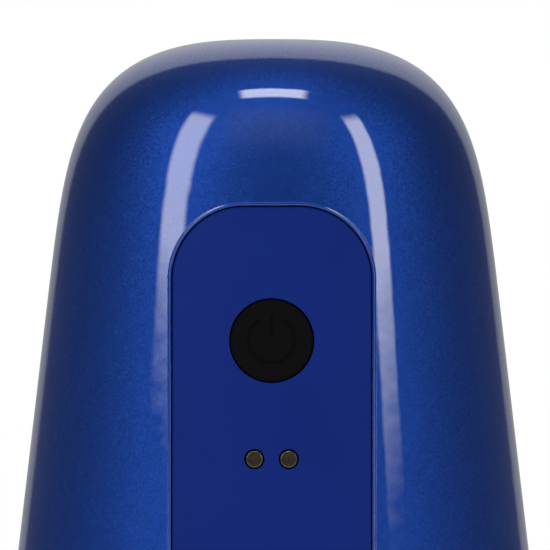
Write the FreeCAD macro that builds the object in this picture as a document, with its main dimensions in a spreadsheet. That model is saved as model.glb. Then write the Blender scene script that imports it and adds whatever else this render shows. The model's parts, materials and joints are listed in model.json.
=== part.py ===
"""A cordless rechargeable desktop electric stapler, as a parametric assembly of separate pieces.

Millimetres: +Z up from the table, -Y is the front that the paper goes into, +X is the right side
seen from the front. The origin is on the table under the middle of the housing.
"""

import FreeCAD, Part
import math
import os
import re
import Sketcher

Vector = FreeCAD.Vector
Rotation = FreeCAD.Rotation

# ---------------------------------------------------------------- driving dimensions, mm and degrees
SIZES = [
    # housing outline
    ("body_height", 130.0),  # table to crown
    ("crown_half_width", 31.0),  # half width that the tapered sides would have at the crown
    ("side_taper", 0.117),  # half width gained for each millimetre further down
    ("crown_depth", 50.0),  # height over which the sides turn into the crown
    ("crown_power", 5.3),  # how late the sides start to turn
    ("corner_power", 2.92),  # how square the shoulders are
    ("depth_ratio", 0.87),  # front and back bulge over half width
    ("straight_half", 28.0),  # half length of the straight middle
    ("wall", 2.4),  # housing wall
    ("seam_y", 20.0),  # front and rear shells meet here
    # base and paper slot
    ("foot_height", 1.6),
    ("foot_radius", 6.0),
    ("cover_thickness", 2.0),  # bottom cover
    ("table_height", 24.0),  # top of the base, which the paper lies on
    ("mouth_height", 7.5),  # paper slot
    ("throat_back", 20.0),  # back of the paper slot, in front of the middle
    ("frame_thickness", 1.8),  # black frame that lines the slot
    ("fit_gap", 0.2),  # clearance between fitted plastic pieces
    # control panel
    ("panel_width", 31.6),
    ("panel_top", 103.5),
    ("panel_corner", 11.5),
    ("panel_bottom", 46.4),
    ("panel_recess", 0.3),
    ("pocket_depth", 1.6),
    ("ledge_width", 2.5),
    ("panel_gap", 0.12),
    ("button_z", 82.3),
    ("button_radius", 6.5),
    ("button_gap", 0.1),
    ("button_travel", 0.8),
    ("button_proud", 0.15),  # how far the button stands over the panel
    ("contact_z", 63.7),
    ("contact_radius", 1.47),
    ("contact_pitch", 5.4),
    ("board_front", 52.0),  # front face of the panel's circuit board, in front of the middle
    ("board_thickness", 1.6),
    # steel chassis
    ("plate_gap", 33.0),  # between the side plates
    ("plate_thickness", 1.6),
    ("plate_front", 58.0),  # reach of the lower arm, in front of the middle
    ("plate_back", 24.0),
    ("plate_top", 118.0),
    ("plate_foot", 6.0),  # underside of the lower arm
    ("anvil_half", 12.5),
    # pivots and shafts, as distances from the origin
    ("pivot_y", 12.0),
    ("pivot_z", 40.0),
    ("pivot_radius", 3.0),
    ("cam_y", -18.0),
    ("cam_z", 77.5),
    ("camshaft_radius", 4.0),
    ("running_gap", 0.05),
    # lever, head and driver
    ("roller_y", -26.0),
    ("roller_z", 66.0),
    ("roller_radius", 5.0),
    ("roller_width", 6.0),
    ("roller_pin_radius", 1.5),
    ("cam_gap", 0.2),
    ("cam_stroke", 170.0),  # turn of the cam for one full stroke
    ("lever_turn", 13.1),  # turn of the lever for that
    ("head_turn", 5.3),  # turn of the magazine head for that
    ("staple_line", 56.0),  # driver blade's plane, in front of the middle
    ("blade_thickness", 0.5),
    ("blade_width", 12.4),
    ("blade_bottom", 40.6),
    ("tongue_y", -53.5),
    ("tongue_z", 54.6),
    ("tongue_radius", 1.8),
    ("lever_inner", 12.2),
    ("lever_thickness", 1.6),
    # magazine
    ("channel_inner", 10.2),
    ("channel_thickness", 1.0),
    ("channel_floor", 32.6),
    ("sheet_thickness", 0.8),
    ("tray_floor", 33.5),
    ("rail_half", 5.6),
    ("rail_top", 39.9),
    ("staple_half", 6.4),
    ("staple_wire", 0.5),
    ("strip_length", 25.0),
    ("pusher_length", 8.0),
    ("tray_back", -2.0),
    ("rail_back", -8.5),  # clear of the driver when the drawer is right out
    # drive train
    ("final_module", 0.8),
    ("final_teeth", 44.0),
    ("middle_module", 0.7),
    ("middle_teeth", 36.0),
    ("first_module", 0.5),
    ("first_teeth", 40.0),
    ("pinion_teeth", 12.0),
    ("motor_pinion_teeth", 10.0),
    ("pressure_angle", 28.0),
    ("backlash", 0.09),
    ("middle_bearing", 20.0),  # direction from the cam to the middle shaft, above +Y
    ("first_bearing", 100.0),  # direction from the middle shaft to the first shaft
    ("motor_bearing", 20.0),  # direction from the first shaft to the motor
    ("layer_start", 19.4),  # inner gear layer
    ("layer_width", 3.8),
    ("layer_gap", 0.5),
    ("axle_radius", 2.0),
    ("motor_radius", 13.85),
    ("motor_length", 32.5),
    ("rod_radius", 3.0),
    # battery and boards
    ("cell_radius", 9.2),
    ("cell_length", 65.0),
    ("cell_y", 34.6),
    ("cell_floor", 3.0),  # underside of the cells over the base
    ("main_board_y", 47.6),
    # paper sensor and depth fence
    ("sensor_x", 24.0),
    ("sensor_y", -27.5),
    ("sensor_z", 14.0),
    ("sensor_width", 4.0),
    ("sensor_pin", 1.2),
    ("fence_y", -22.5),
    ("fence_travel", 12.0),
    ("fence_half", 15.0),
]

doc = FreeCAD.newDocument("electric_stapler")
sheet = doc.addObject("Spreadsheet::Sheet", "Sizes")
for row, (alias, number) in enumerate(SIZES, start=1):
    sheet.set(f"A{row}", str(number))
    sheet.setAlias(f"A{row}", alias)
doc.recompute()
size = dict(SIZES)
PARTS = []


def formula(text):
    """An expression on the sheet's names, as FreeCAD writes it."""
    return re.sub(r"[a-z_]+", lambda m: "Sizes." + m.group() if m.group() in size else m.group(), str(text))


def number(text):
    """What such an expression is worth now."""
    return float(sheet.evalExpression(formula(text)))


def bind(obj, **expressions):
    for name, text in expressions.items():
        obj.setExpression(name.replace("__", "."), formula(text))
    return obj


def new(kind, label):
    obj = doc.addObject(kind, label)
    obj.Label = label
    return obj


def at(obj, x, y, z, rotation=None):
    if rotation is not None:
        obj.Placement = FreeCAD.Placement(Vector(0, 0, 0), rotation)
    return bind(obj, Placement__Base__x=x, Placement__Base__y=y, Placement__Base__z=z)


def part(obj):
    """Marks an object as one of the assembly's pieces, named by its label."""
    PARTS.append(obj)
    return obj


# ---------------------------------------------------------------- solids that the pieces are made of
def box(label, x, y, z):
    """A box from its low and high side along each axis."""
    obj = new("Part::Box", label)
    bind(obj, Length=f"({x[1]}) - ({x[0]})", Width=f"({y[1]}) - ({y[0]})", Height=f"({z[1]}) - ({z[0]})")
    return at(obj, x[0], y[0], z[0])


AXIS_TURN = {"X": Rotation(Vector(0, 1, 0), 90), "Y": Rotation(Vector(1, 0, 0), -90), "Z": Rotation()}


def on_axis(axis, centre, along):
    """The three coordinates of a point from its place along an axis and its two others in X, Y, Z order."""
    a, b = centre
    return {"X": (along, a, b), "Y": (a, along, b), "Z": (a, b, along)}[axis]


def rod(label, axis, centre, span, radius):
    obj = new("Part::Cylinder", label)
    bind(obj, Radius=radius, Height=f"({span[1]}) - ({span[0]})")
    return at(obj, *on_axis(axis, centre, span[0]), rotation=AXIS_TURN[axis])


def fuse(label, *objects):
    obj = new("Part::MultiFuse", label)
    obj.Shapes = list(objects)
    return obj


def common(label, *objects):
    obj = new("Part::MultiCommon", label)
    obj.Shapes = list(objects)
    return obj


def cut(label, base, *tools):
    obj = new("Part::Cut", label)
    obj.Base = base
    obj.Tool = tools[0] if len(tools) == 1 else fuse(label + "_tools", *tools)
    return obj


def group(label, objects):
    """Separate solids that share one node."""
    obj = new("Part::Compound", label)
    obj.Links = list(objects)
    return obj


def feature(label, shape, place=(0, 0, 0), rotation=None):
    obj = new("Part::Feature", label)
    obj.Shape = shape
    obj.Placement = FreeCAD.Placement(Vector(*place), rotation or Rotation())
    return obj


def side_pad(label, points, x):
    """A polygon in Y and Z, padded across from the low to the high X, as a body with a sketch."""
    body = new("PartDesign::Body", label)
    sketch = body.newObject("Sketcher::SketchObject", label + "_sketch")
    plane = next(f for f in body.Origin.OriginFeatures if f.Role == "YZ_Plane")
    sketch.AttachmentSupport = (plane, [""])
    sketch.MapMode = "FlatFace"
    corners = [(number(y), number(z)) for y, z in points]
    last = len(points) - 1
    for i, (y, z) in enumerate(corners):
        ahead = corners[0 if i == last else i + 1]
        sketch.addGeometry(Part.LineSegment(Vector(y, z, 0), Vector(*ahead, 0)), False)
    for i in range(len(points)):
        sketch.addConstraint(Sketcher.Constraint("Coincident", i, 2, 0 if i == last else i + 1, 1))
    for i, (point, corner) in enumerate(zip(points, corners)):
        for way, text, place in zip(("DistanceX", "DistanceY"), point, corner):
            made = sketch.addConstraint(Sketcher.Constraint(way, -1, 1, i, 1, place))
            sketch.setExpression(f"Constraints[{made}]", formula(text))
    bind(sketch, AttachmentOffset__Base__z=x[0])
    pad = body.newObject("PartDesign::Pad", label + "_pad")
    pad.Profile = sketch
    bind(pad, Length=f"({x[1]}) - ({x[0]})")
    body.Tip = pad
    return body


def screw(label, axis, centre, head_at, way, head_radius, head_height, shank_radius, length):
    """A socket screw: the head starts at head_at, the shank goes on from there; way is 1 or -1."""
    seat = f"{head_at} + {way}*({head_height})"
    tip = f"{seat} + {way}*({length})"
    spans = [(head_at, seat), (seat, tip)]
    if way < 0:
        spans = [(b, a) for a, b in spans]
    head = rod(label + "_head", axis, centre, spans[0], head_radius)
    shank = rod(label + "_shank", axis, centre, spans[1], shank_radius)
    socket = new("Part::Prism", label + "_socket")
    socket.Polygon = 6
    deep = f"0.6*({head_height})"
    bind(socket, Circumradius=f"0.55*({head_radius})", Height=deep)
    low = head_at if way > 0 else f"{head_at} - {deep}"
    at(socket, *on_axis(axis, centre, low), rotation=AXIS_TURN[axis])
    return cut(label, fuse(label + "_blank", head, shank), socket)


def coil(label, centre, low, high, coil_radius, wire_radius, turns, axis="Z"):
    """A coil spring between two heights, or two places along Y."""
    rise = high - low - 2 * wire_radius
    helix = Part.makeHelix(rise / turns, rise, coil_radius)
    ring = Part.Wire(Part.makeCircle(wire_radius, Vector(coil_radius, 0, 0), Vector(0, 1, 0)))
    shape = Part.Wire(helix.Edges).makePipeShell([ring], True, True)
    place = on_axis(axis, centre, low + wire_radius)
    return feature(label, shape, place, AXIS_TURN[axis])


# ---------------------------------------------------------------- housing surface
def half_width(z, inset):
    """Half width of the housing at a height, on a skin that lies inset inside the outside."""
    deep = size["body_height"] - inset - z
    line = size["crown_half_width"] - inset + size["side_taper"] * deep
    left = max(0.0, 1.0 - deep / size["crown_depth"])
    return line * (1.0 - left ** size["crown_power"]) ** (1.0 / size["corner_power"])


def skin_profile(inset, low):
    """The skin's outline from its foot to the middle of the crown, as a straight side and a curve."""
    crown = size["body_height"] - inset
    bend = crown - size["crown_depth"]
    points = []
    steps = 20
    for i in range(steps + 1):
        part_way = math.sin(0.5 * math.pi * i / steps)
        z = bend + size["crown_depth"] * (1 - (1 - part_way) ** 1.6) if i < steps else crown
        points.append(Vector(half_width(z, inset) if i < steps else 0.0, 0, z))
    curve = Part.BSplineCurve()
    taper = Vector(-size["side_taper"], 0, 1)
    curve.interpolate(Points=points, InitialTangent=taper, FinalTangent=Vector(-1, 0, 0), Scale=False)
    foot = Vector(half_width(low, inset), 0, low)
    return [Part.LineSegment(foot, points[0]).toShape(), curve.toShape()], foot, crown


def skin(label, inset, low):
    """The solid inside a skin: half an oval dome in front, a straight middle, half a dome behind."""
    edges, foot, crown = skin_profile(inset, low)
    axis = Part.LineSegment(Vector(0, 0, crown), Vector(0, 0, low)).toShape()
    sole = Part.LineSegment(Vector(0, 0, low), foot).toShape()
    half_face = Part.Face(Part.Wire(edges + [axis, sole]))
    middle = half_width(0.5 * size["body_height"], 0.0)
    ratio = (size["depth_ratio"] * middle - inset) / (middle - inset)
    squash = FreeCAD.Matrix()
    squash.scale(1.0, ratio, 1.0)
    length = size["straight_half"]
    solids = []
    for turn, shift in ((-180, -length), (180, length)):
        dome = half_face.revolve(Vector(0, 0, 0), Vector(0, 0, 1), turn)
        dome = dome.transformGeometry(squash)
        dome.translate(Vector(0, shift, 0))
        solids.append(dome)
    for side in (1, -1):
        sheet_face = half_face.copy()
        if side < 0:
            sheet_face = sheet_face.mirror(Vector(0, 0, 0), Vector(1, 0, 0))
        sheet_face.translate(Vector(0, -length, 0))
        solids.append(sheet_face.extrude(Vector(0, 2 * length, 0)))
    solid = solids[0].multiFuse(solids[1:]).removeSplitter()
    return feature(label, solid)


FAR = 120  # past the housing on every side
BASE_LOW = "foot_height"
MOUTH_TOP = "table_height + mouth_height"
outer = skin("outer_skin", 0.0, size["foot_height"])
inner = skin("inner_skin", size["wall"], size["foot_height"] - 1)
fitted = skin("fitted_skin", size["wall"] + size["fit_gap"], size["foot_height"] - 1)
panel_face = skin("panel_face_skin", size["panel_recess"], size["foot_height"])
pocket_face = skin("pocket_skin", size["pocket_depth"], size["foot_height"])
button_face = skin("button_skin", size["panel_recess"] - size["button_proud"], size["foot_height"])


def arch(label, inset, low, high, y):
    """A prism through the front with the panel's rounded top, drawn in by inset at its sides and top."""
    half, corner = f"(panel_width/2 - {inset})", f"(panel_corner - {inset})"
    shoulder = f"{high} - {inset} - {corner}"
    pieces = [
        box(label + "_lower", (f"-{half}", half), y, (low, shoulder)),
        box(label + "_upper", (f"-{half} + {corner}", f"{half} - {corner}"), y,
            (shoulder, f"{high} - {inset}")),
    ]
    for side, way in (("left", "-"), ("right", "")):
        centre = (f"{way}({half} - {corner})", shoulder)
        pieces.append(rod(f"{label}_{side}_corner", "Y", centre, y, corner))
    return fuse(label, *pieces)


def both(make):
    """The same piece made for the left and for the right side; make takes a name and a sign for X."""
    return [make("left", "-"), make("right", "")]


def span(low, high, sign=""):
    """A span along X on one side: low to high, mirrored for the left side."""
    return (low, high) if not sign else (f"-({high})", f"-({low})")


# places worked out from the sizes
SLOPE = "(depth_ratio*side_taper)"
SECANT = f"sqrt(1 + {SLOPE}^2)"
PLATE_IN = "plate_gap/2"
PLATE_OUT = "(plate_gap/2 + plate_thickness)"
LAYER_A = ("layer_start", "layer_start + layer_width")
LAYER_B = ("layer_start + layer_width + layer_gap", "layer_start + 2*layer_width + layer_gap")
FINAL_REACH = "final_module*(final_teeth + pinion_teeth)/2"
MIDDLE_REACH = "middle_module*(middle_teeth + pinion_teeth)/2"
FIRST_REACH = "first_module*(first_teeth + motor_pinion_teeth)/2"
MIDDLE = (f"(cam_y + {FINAL_REACH}*cos(middle_bearing))", f"(cam_z + {FINAL_REACH}*sin(middle_bearing))")
FIRST = (f"({MIDDLE[0]} + {MIDDLE_REACH}*cos(first_bearing))",
         f"({MIDDLE[1]} + {MIDDLE_REACH}*sin(first_bearing))")
MOTOR = (f"({FIRST[0]} + {FIRST_REACH}*cos(motor_bearing))",
         f"({FIRST[1]} + {FIRST_REACH}*sin(motor_bearing))")
CAM = ("cam_y", "cam_z")
PIVOT = ("pivot_y", "pivot_z")
ROLLER = ("roller_y", "roller_z")


def front_at(z):
    """Where the front of the housing is, on the middle plane, at a height below the crown's bend."""
    return f"(-(straight_half + depth_ratio*(crown_half_width + side_taper*(body_height - ({z})))))"


def lean_rod(label, x, z, start, end, radius):
    """A rod square to the leaning front, from start to end measured inwards from the outside surface."""
    obj = new("Part::Cylinder", label)
    bind(obj, Radius=radius, Height=f"({end}) - ({start})")
    inwards = Vector(0, 1, -number(SLOPE))
    y = f"{front_at(z)} + ({start})/{SECANT}"
    return at(obj, x, y, f"({z}) - ({start})*{SLOPE}/{SECANT}", rotation=Rotation(Vector(0, 0, 1), inwards))


def ring(label, axis, centre, along, inner_radius, outer_radius):
    return cut(label, rod(label + "_disc", axis, centre, along, outer_radius),
               rod(label + "_bore", axis, centre, along, inner_radius))


# ---------------------------------------------------------------- housing
BASE_SCREWS = [(f"{sign}36.4", y) for sign in ("-", "") for y in ("-6", "31")]
SHELL_SCREWS = [("35.4", "46"), ("28.4", "104")]
FEET = [(f"{sx}27", f"{sy}45") for sx in ("-", "") for sy in ("-", "")]
ALL_X = (-FAR, FAR)

hull = cut("hull", outer, inner)
front_region = fuse(
    "front_region",
    box("front_upper", ALL_X, (-FAR, "seam_y"), (MOUTH_TOP, FAR + 40)),
    box("front_lower", ALL_X, ("-throat_back", "seam_y"), ("table_height", f"{MOUTH_TOP} + 1")),
)
front_bosses = []
rear_bosses = []
rear_bores = []
for side, sign in (("left", "-"), ("right", "")):
    for x, z in SHELL_SCREWS:
        name = f"{side}_{z}"
        front_bosses.append(rod(f"front_boss_{name}", "Y", (f"{sign}{x}", z), ("seam_y - 13", "seam_y"),
                                3.6))
        rear_bosses.append(rod(f"rear_boss_{name}", "Y", (f"{sign}{x}", z), ("seam_y", "seam_y + 60"), 3.9))
        rear_bores.append(rod(f"rear_sink_{name}", "Y", (f"{sign}{x}", z), ("seam_y + 6", "seam_y + 60"),
                              3.1))
    for i, (x, y) in enumerate(BASE_SCREWS):
        if x.startswith("-") == bool(sign):
            post = rod(f"shell_post_{side}_{i}", "Z", (x, y), ("table_height", "table_height + 10"), 4.2)
            (front_bosses if y.startswith("-") else rear_bosses).append(post)
shell_screw_list = [
    screw(f"housing_screw_{sign or '+'}{z}", "Y", (f"{sign}{x}", z), "seam_y + 8", -1, 2.9, 2.0, 1.4, 16)
    for sign in ("-", "") for x, z in SHELL_SCREWS
]
base_screw_list = [
    screw(f"base_screw_{i}", "Z", place, "foot_height + 0.3", 1, 2.9, 1.0, 1.5, 30)
    for i, place in enumerate(BASE_SCREWS)
]
shell_shanks = [rod(f"shell_shank_{sign or '+'}{z}", "Y", (f"{sign}{x}", z), ("seam_y - 10", "seam_y + 9"),
                    1.4)
                for sign in ("-", "") for x, z in SHELL_SCREWS]
base_shanks = [rod(f"base_shank_{i}", "Z", place, (0, "foot_height + 31.3"), 1.5)
               for i, place in enumerate(BASE_SCREWS)]

Y_FRONT = (-FAR, "-25")
opening = arch("panel_opening", 0, "panel_bottom", "panel_top", Y_FRONT)
window = arch("panel_window", "ledge_width", f"{MOUTH_TOP} - 1", "panel_top", Y_FRONT)
cap_hole = box("cap_hole", ("-panel_width/2", "panel_width/2"), Y_FRONT,
               (f"{MOUTH_TOP} - 1", "panel_bottom"))
front_body = fuse("front_body", common("front_hull", hull, front_region),
                  common("front_boss_trim", outer, fuse("front_boss_set", *front_bosses)))
part(cut("front_shell", front_body, cut("panel_pocket", opening, pocket_face), window, cap_hole,
         *shell_shanks, *base_shanks))

rear_region = box("rear_region", ALL_X, ("seam_y", FAR), ("table_height", FAR + 40))
rear_body = fuse("rear_body", common("rear_hull", hull, rear_region),
                 common("rear_boss_trim", outer, fuse("rear_boss_set", *rear_bosses)))
rear_blank = cut("rear_blank", rear_body, fuse("rear_bore_set", *rear_bores))
part(cut("rear_shell", rear_blank, fuse("rear_shanks", *shell_shanks, *base_shanks)))

COVER_TOP = "foot_height + cover_thickness"
base_block = common("base_block", outer, box("base_region", ALL_X, ALL_X, (COVER_TOP, "table_height")))
base_room = common("base_room", inner, box("base_room_box", ALL_X, ALL_X, (0, "table_height - wall")))
base_extra = [rod(f"base_post_{i}", "Z", place, (COVER_TOP, "table_height"), 4.2)
              for i, place in enumerate(BASE_SCREWS)]
base_extra += both(lambda side, sign: box(
    f"{side}_hold_down", span(f"{PLATE_IN} - 0.6", f"{PLATE_OUT} + 0.6", sign), (-42, -32),
    ("table_height - 4", "table_height - 1")))
SENSOR_IN, SENSOR_OUT = "sensor_x - sensor_width/2", "sensor_x + sensor_width/2"
for name, low, high in (("inner", f"{SENSOR_IN} - 1.6", f"{SENSOR_IN} - 0.3"),
                        ("outer", f"{SENSOR_OUT} + 0.3", f"{SENSOR_OUT} + 1.6")):
    base_extra.append(box(f"sensor_ear_{name}", (low, high), ("sensor_y - 2.6", "sensor_y + 2.6"),
                          ("sensor_z - 2.6", "table_height - 1")))
base_walls = fuse("base_walls", cut("base_hollow", base_block, base_room), *base_extra)
CHASSIS_HOLE_X = f"{PLATE_OUT} + 0.3"
base_cuts = [
    box("anvil_opening", ("-anvil_half - 0.2", "anvil_half + 0.2"),
        ("-staple_line - 6.2", "-staple_line + 6.2"), (10, 40)),
    box("chassis_opening", (f"-({CHASSIS_HOLE_X})", CHASSIS_HOLE_X),
        ("-throat_back + 3.7", "plate_back + 0.3"), (10, 40)),
    box("sensor_opening", (f"{SENSOR_IN} - 0.2", f"{SENSOR_OUT} + 0.2"), ("sensor_y - 2.2", "sensor_y + 5"),
        ("sensor_z + 3.5", 40)),
    rod("sensor_pin_hole", "X", ("sensor_y", "sensor_z"), ("sensor_x - 5", "sensor_x + 5"),
        "sensor_pin + running_gap"),
]
part(cut("base_housing", base_walls, *base_cuts, *base_shanks))

cover_slab = common("cover_slab", outer, box("cover_region", ALL_X, ALL_X, ("foot_height", COVER_TOP)))
cover_ribs = []
for i, y in enumerate((-48, 14)):
    cover_ribs += both(lambda side, sign: box(
        f"{side}_cover_rib_{i}", span(f"{PLATE_IN} - 0.6", f"{PLATE_OUT} + 0.6", sign), (y, y + 4),
        (f"{COVER_TOP} - 0.5", "plate_foot")))
foot_pockets = [rod(f"foot_pocket_{i}", "Z", place, (0, "foot_height + 1"), "foot_radius") for i,
                place in enumerate(FEET)]
cover_sinks = [rod(f"cover_sink_{i}", "Z", place, (0, "foot_height + 1.3"), 3.1) for i,
               place in enumerate(BASE_SCREWS)]
part(cut("bottom_cover", fuse("cover_blank", cover_slab, *cover_ribs), *foot_pockets, *cover_sinks,
         *base_shanks))
part(group("rubber_feet", [rod(f"foot_{i}", "Z", place, (0, "foot_height + 1"), "foot_radius")
                           for i, place in enumerate(FEET)]))
part(group("housing_screws", shell_screw_list))
part(group("base_screws", base_screw_list))

# black frame round the paper slot: a ceiling either side of the head and the back of the throat
HEAD_HOLE = f"{PLATE_IN} - 0.3"
slot_ceiling = box("slot_ceiling", ALL_X, (-FAR, "-throat_back + frame_thickness"),
                   (MOUTH_TOP, f"{MOUTH_TOP} + frame_thickness"))
slot_back = box("slot_back", ALL_X, ("-throat_back", "-throat_back + frame_thickness"),
                ("table_height", f"{MOUTH_TOP} + 1"))
slot_frame = common("slot_frame", fitted, fuse("slot_frame_set", slot_ceiling, slot_back))
STEM_IN, STEM_OUT = "8", "10.4"
stem_holes = both(lambda side, sign: box(
    f"{side}_stem_hole", span(f"{STEM_IN} - 0.2", f"{STEM_OUT} + 0.2", sign), (-FAR, 0),
    ("table_height + 0.6", "table_height + 3")))
part(cut("slot_surround", slot_frame,
         box("head_hole", (f"-({HEAD_HOLE})", HEAD_HOLE), (-FAR, 0), (f"{MOUTH_TOP} - 2.7", FAR)),
         *stem_holes))

# ---------------------------------------------------------------- control panel
CONTACTS = [("left", "-contact_pitch/2"), ("right", "contact_pitch/2")]
BOARD_Y = ("-board_front", "-board_front + board_thickness")
PANEL_POSTS = [(f"{sign}9.6", z) for sign in ("-", "") for z in ("71", "96.5")]
panel_blank = cut("panel_blank",
                  common("panel_front", panel_face,
                         arch("panel_outline", "panel_gap", "panel_bottom", "panel_top", Y_FRONT)),
                         pocket_face)
panel_posts = common("panel_posts", panel_face, fuse("panel_post_set", *[
    rod(f"panel_post_{i}", "Y", place, (-FAR, "-board_front"), 2.0) for i,
    place in enumerate(PANEL_POSTS)]))
panel_holes = [lean_rod("button_hole", 0, "button_z", -3, 5, "button_radius + button_gap")]
panel_holes += [lean_rod(f"{side}_contact_hole", x, "contact_z", -3, 5, "contact_radius + 0.05") for side,
                x in CONTACTS]
part(cut("control_panel", fuse("panel_body", panel_blank, panel_posts), *panel_holes,
         *[rod(f"panel_pilot_{i}", "Y", place, ("-board_front - 3", 0), 0.8) for i,
           place in enumerate(PANEL_POSTS)]))
board_slab = box("board_slab", (-12.6, 12.6), BOARD_Y, (60, 100))
part(cut("panel_circuit_board", board_slab,
         *[rod(f"board_hole_{i}", "Y", place, (-FAR, 0), 0.8) for i, place in enumerate(PANEL_POSTS)]))
part(group("panel_screws", [screw(f"panel_screw_{i}", "Y", place, "-board_front + board_thickness + 1.1",
                                  -1, 1.6, 1.1, 0.8, 4)
                            for i, place in enumerate(PANEL_POSTS)]))
SWITCH_FRONT = "-board_front - 3.4"
part(fuse("tact_switch", box("tact_body", (-3, 3), (SWITCH_FRONT, "-board_front"),
                             ("button_z - 3.4", "button_z + 2.6")),
          rod("tact_plunger", "Y", (0, "button_z - 0.4"), (f"{SWITCH_FRONT} - 0.5", SWITCH_FRONT), 1.6)))
part(group("charge_contacts", [common(f"{side}_contact", panel_face, rod_pin) for side, rod_pin in [
    (side, fuse(f"{side}_contact_pin",
                lean_rod(f"{side}_contact_head", x, "contact_z", -1, 3.2, "contact_radius"),
                rod(f"{side}_contact_tail", "Y", (x, "contact_z - 0.3"),
                    (f"{front_at('contact_z')} + 2.5", "-board_front"), 0.7)))
    for side, x in CONTACTS]]))
part(group("charge_magnets", both(lambda side, sign: rod(
    f"{side}_magnet", "Y", (f"{sign}8.6", "contact_z"), ("-board_front - 3", "-board_front"), 2.5))))

# power button: a domed cap with the standby sign sunk into it, and a stem that meets the switch
BUTTON_BACK = f"2.0*{SECANT}"
button_cap = common("button_cap", button_face,
                    lean_rod("button_disc", 0, "button_z", -2, 2.6, "button_radius"))
PLUNGER_FRONT = f"({SWITCH_FRONT} - 0.5)"
STEM_END = f"({PLUNGER_FRONT} - button_travel - 0.03 - 2.2*{SLOPE} - {front_at('button_z')})*{SECANT}"
button_stem = lean_rod("button_stem", 0, "button_z", 2, STEM_END, 2.2)
sign_ring = cut("sign_ring", lean_rod("sign_outer", 0, "button_z", -2, 0.45, 3.85),
                lean_rod("sign_inner", 0, "button_z", -3, 1, 3.4))
sign_gap = box("sign_gap", (-2.1, 2.1), (-FAR, 0), ("button_z", FAR))
sign_bar = common("sign_bar", lean_rod("sign_bar_disc", 0, "button_z", -2, 0.45, 5),
                  box("sign_bar_box", (-0.225, 0.225), (-FAR, 0), ("button_z + 0.7", "button_z + 3.9")))
button_solid = fuse("button_solid", button_cap, button_stem)
part(cut("power_button", button_solid, cut("sign_arc", sign_ring, sign_gap), sign_bar))

# ---------------------------------------------------------------- steel chassis
SPACERS = [(-44, 11), (18, 11), (17, 68), (-14, 104)]
ANVIL_BOLT = ("-staple_line + 2", 17)
MOTOR_BOLTS = [(MOTOR[0], f"{MOTOR[1]} - 6.5"), (MOTOR[0], f"{MOTOR[1]} + 6.5")]
PLATE_OUTLINE = [
    ("-plate_front", "plate_foot"), ("plate_back", "plate_foot"), ("plate_back", "plate_top - 6"),
    ("plate_back - 6", "plate_top"), ("-6", "plate_top"), ("cam_y - 16", "cam_z + 14.5"),
    ("cam_y - 16", "60"),
    ("-throat_back + 4", "44"), ("-throat_back + 4", "plate_foot + 14"),
    ("-plate_front", "plate_foot + 14"),
]


def side_plate(side, sign):
    across = span(PLATE_IN, PLATE_OUT, sign)
    holes = [rod(f"{side}_shaft_hole", "X", CAM, across, "camshaft_radius + 2"),
             rod(f"{side}_pivot_hole", "X", PIVOT, across, "pivot_radius"),
             rod(f"{side}_anvil_hole", "X", ANVIL_BOLT, across, 1.5)]
    holes += [rod(f"{side}_spacer_hole_{i}", "X", place, across, 1.5) for i, place in enumerate(SPACERS)]
    if side == "right":
        holes += [rod(f"axle_hole_{i}", "X", place, across, "axle_radius") for i,
                  place in enumerate((MIDDLE, FIRST))]
        holes += [rod(f"motor_hole_{i}", "X", place, across, 1.0) for i, place in enumerate(MOTOR_BOLTS)]
        holes += [rod("motor_nose_hole", "X", MOTOR, across, 2.2)]
    return part(cut(f"{side}_side_plate", side_pad(f"{side}_plate_blank", PLATE_OUTLINE, across), *holes))


both(side_plate)
part(group("plate_spacers", [cut(f"spacer_{i}",
                                 rod(f"spacer_rod_{i}", "X", place, (f"-{PLATE_IN}", PLATE_IN),
                                     "rod_radius"),
                                 *both(lambda side, sign: rod(f"spacer_tap_{i}_{side}", "X", place,
                                                              span(f"{PLATE_IN} - 7", f"{PLATE_IN} + 1",
                                                                   sign), 1.5)))
                             for i, place in enumerate(SPACERS)]))
spacer_screw_list = []
for i, place in enumerate(SPACERS):
    for side, way in (("left", 1), ("right", -1)):
        start = f"-{PLATE_OUT} - 1.1" if way > 0 else f"{PLATE_OUT} + 1.1"
        spacer_screw_list.append(screw(f"spacer_screw_{i}_{side}", "X", place, start, way, 2.8, 1.1, 1.5,
                                       6))
part(group("spacer_screws", spacer_screw_list))
ANVIL_Y = ("-staple_line - 6", "-staple_line + 6")
BLOCK_TOP = "table_height - wall - 0.2"
part(cut("anvil_block", box("anvil_block_blank", (f"-{PLATE_IN}", PLATE_IN),
                            ("-staple_line - 1.6", "-staple_line + 6"), (13.2, BLOCK_TOP)),
         *both(lambda side, sign: rod(f"{side}_anvil_tap", "X", ANVIL_BOLT,
                                      span(f"{PLATE_IN} - 7", f"{PLATE_IN} + 1", sign), 1.5))))
anvil_blank = box("anvil_blank", ("-anvil_half", "anvil_half"), ANVIL_Y, (BLOCK_TOP, "table_height"))
part(cut("anvil_plate", anvil_blank, *both(lambda side, sign: rod(
    f"{side}_clinch", "Y", (f"{sign}(0.62*staple_half)", "table_height + 1.5"),
    ("-staple_line - 0.9", "-staple_line + 0.9"), 2.3))))
anvil_screw_list = [screw("left_anvil_screw", "X", ANVIL_BOLT, f"-{PLATE_OUT} - 1.1", 1, 2.8, 1.1, 1.5, 6),
                    screw("right_anvil_screw", "X", ANVIL_BOLT, f"{PLATE_OUT} + 1.1", -1, 2.8, 1.1, 1.5, 6)]
part(group("anvil_screws", anvil_screw_list))
pivot_rod = rod("pivot_rod", "X", PIVOT, (f"-{PLATE_OUT} - 1", f"{PLATE_OUT} + 1"), "pivot_radius")
pivot_heads = both(lambda side,
                   sign: rod(f"{side}_pivot_head", "X", PIVOT, span(PLATE_OUT, f"{PLATE_OUT} + 1.1", sign),
                             "pivot_radius + 1.5"))
part(fuse("pivot_axle", pivot_rod, *pivot_heads))

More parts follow.
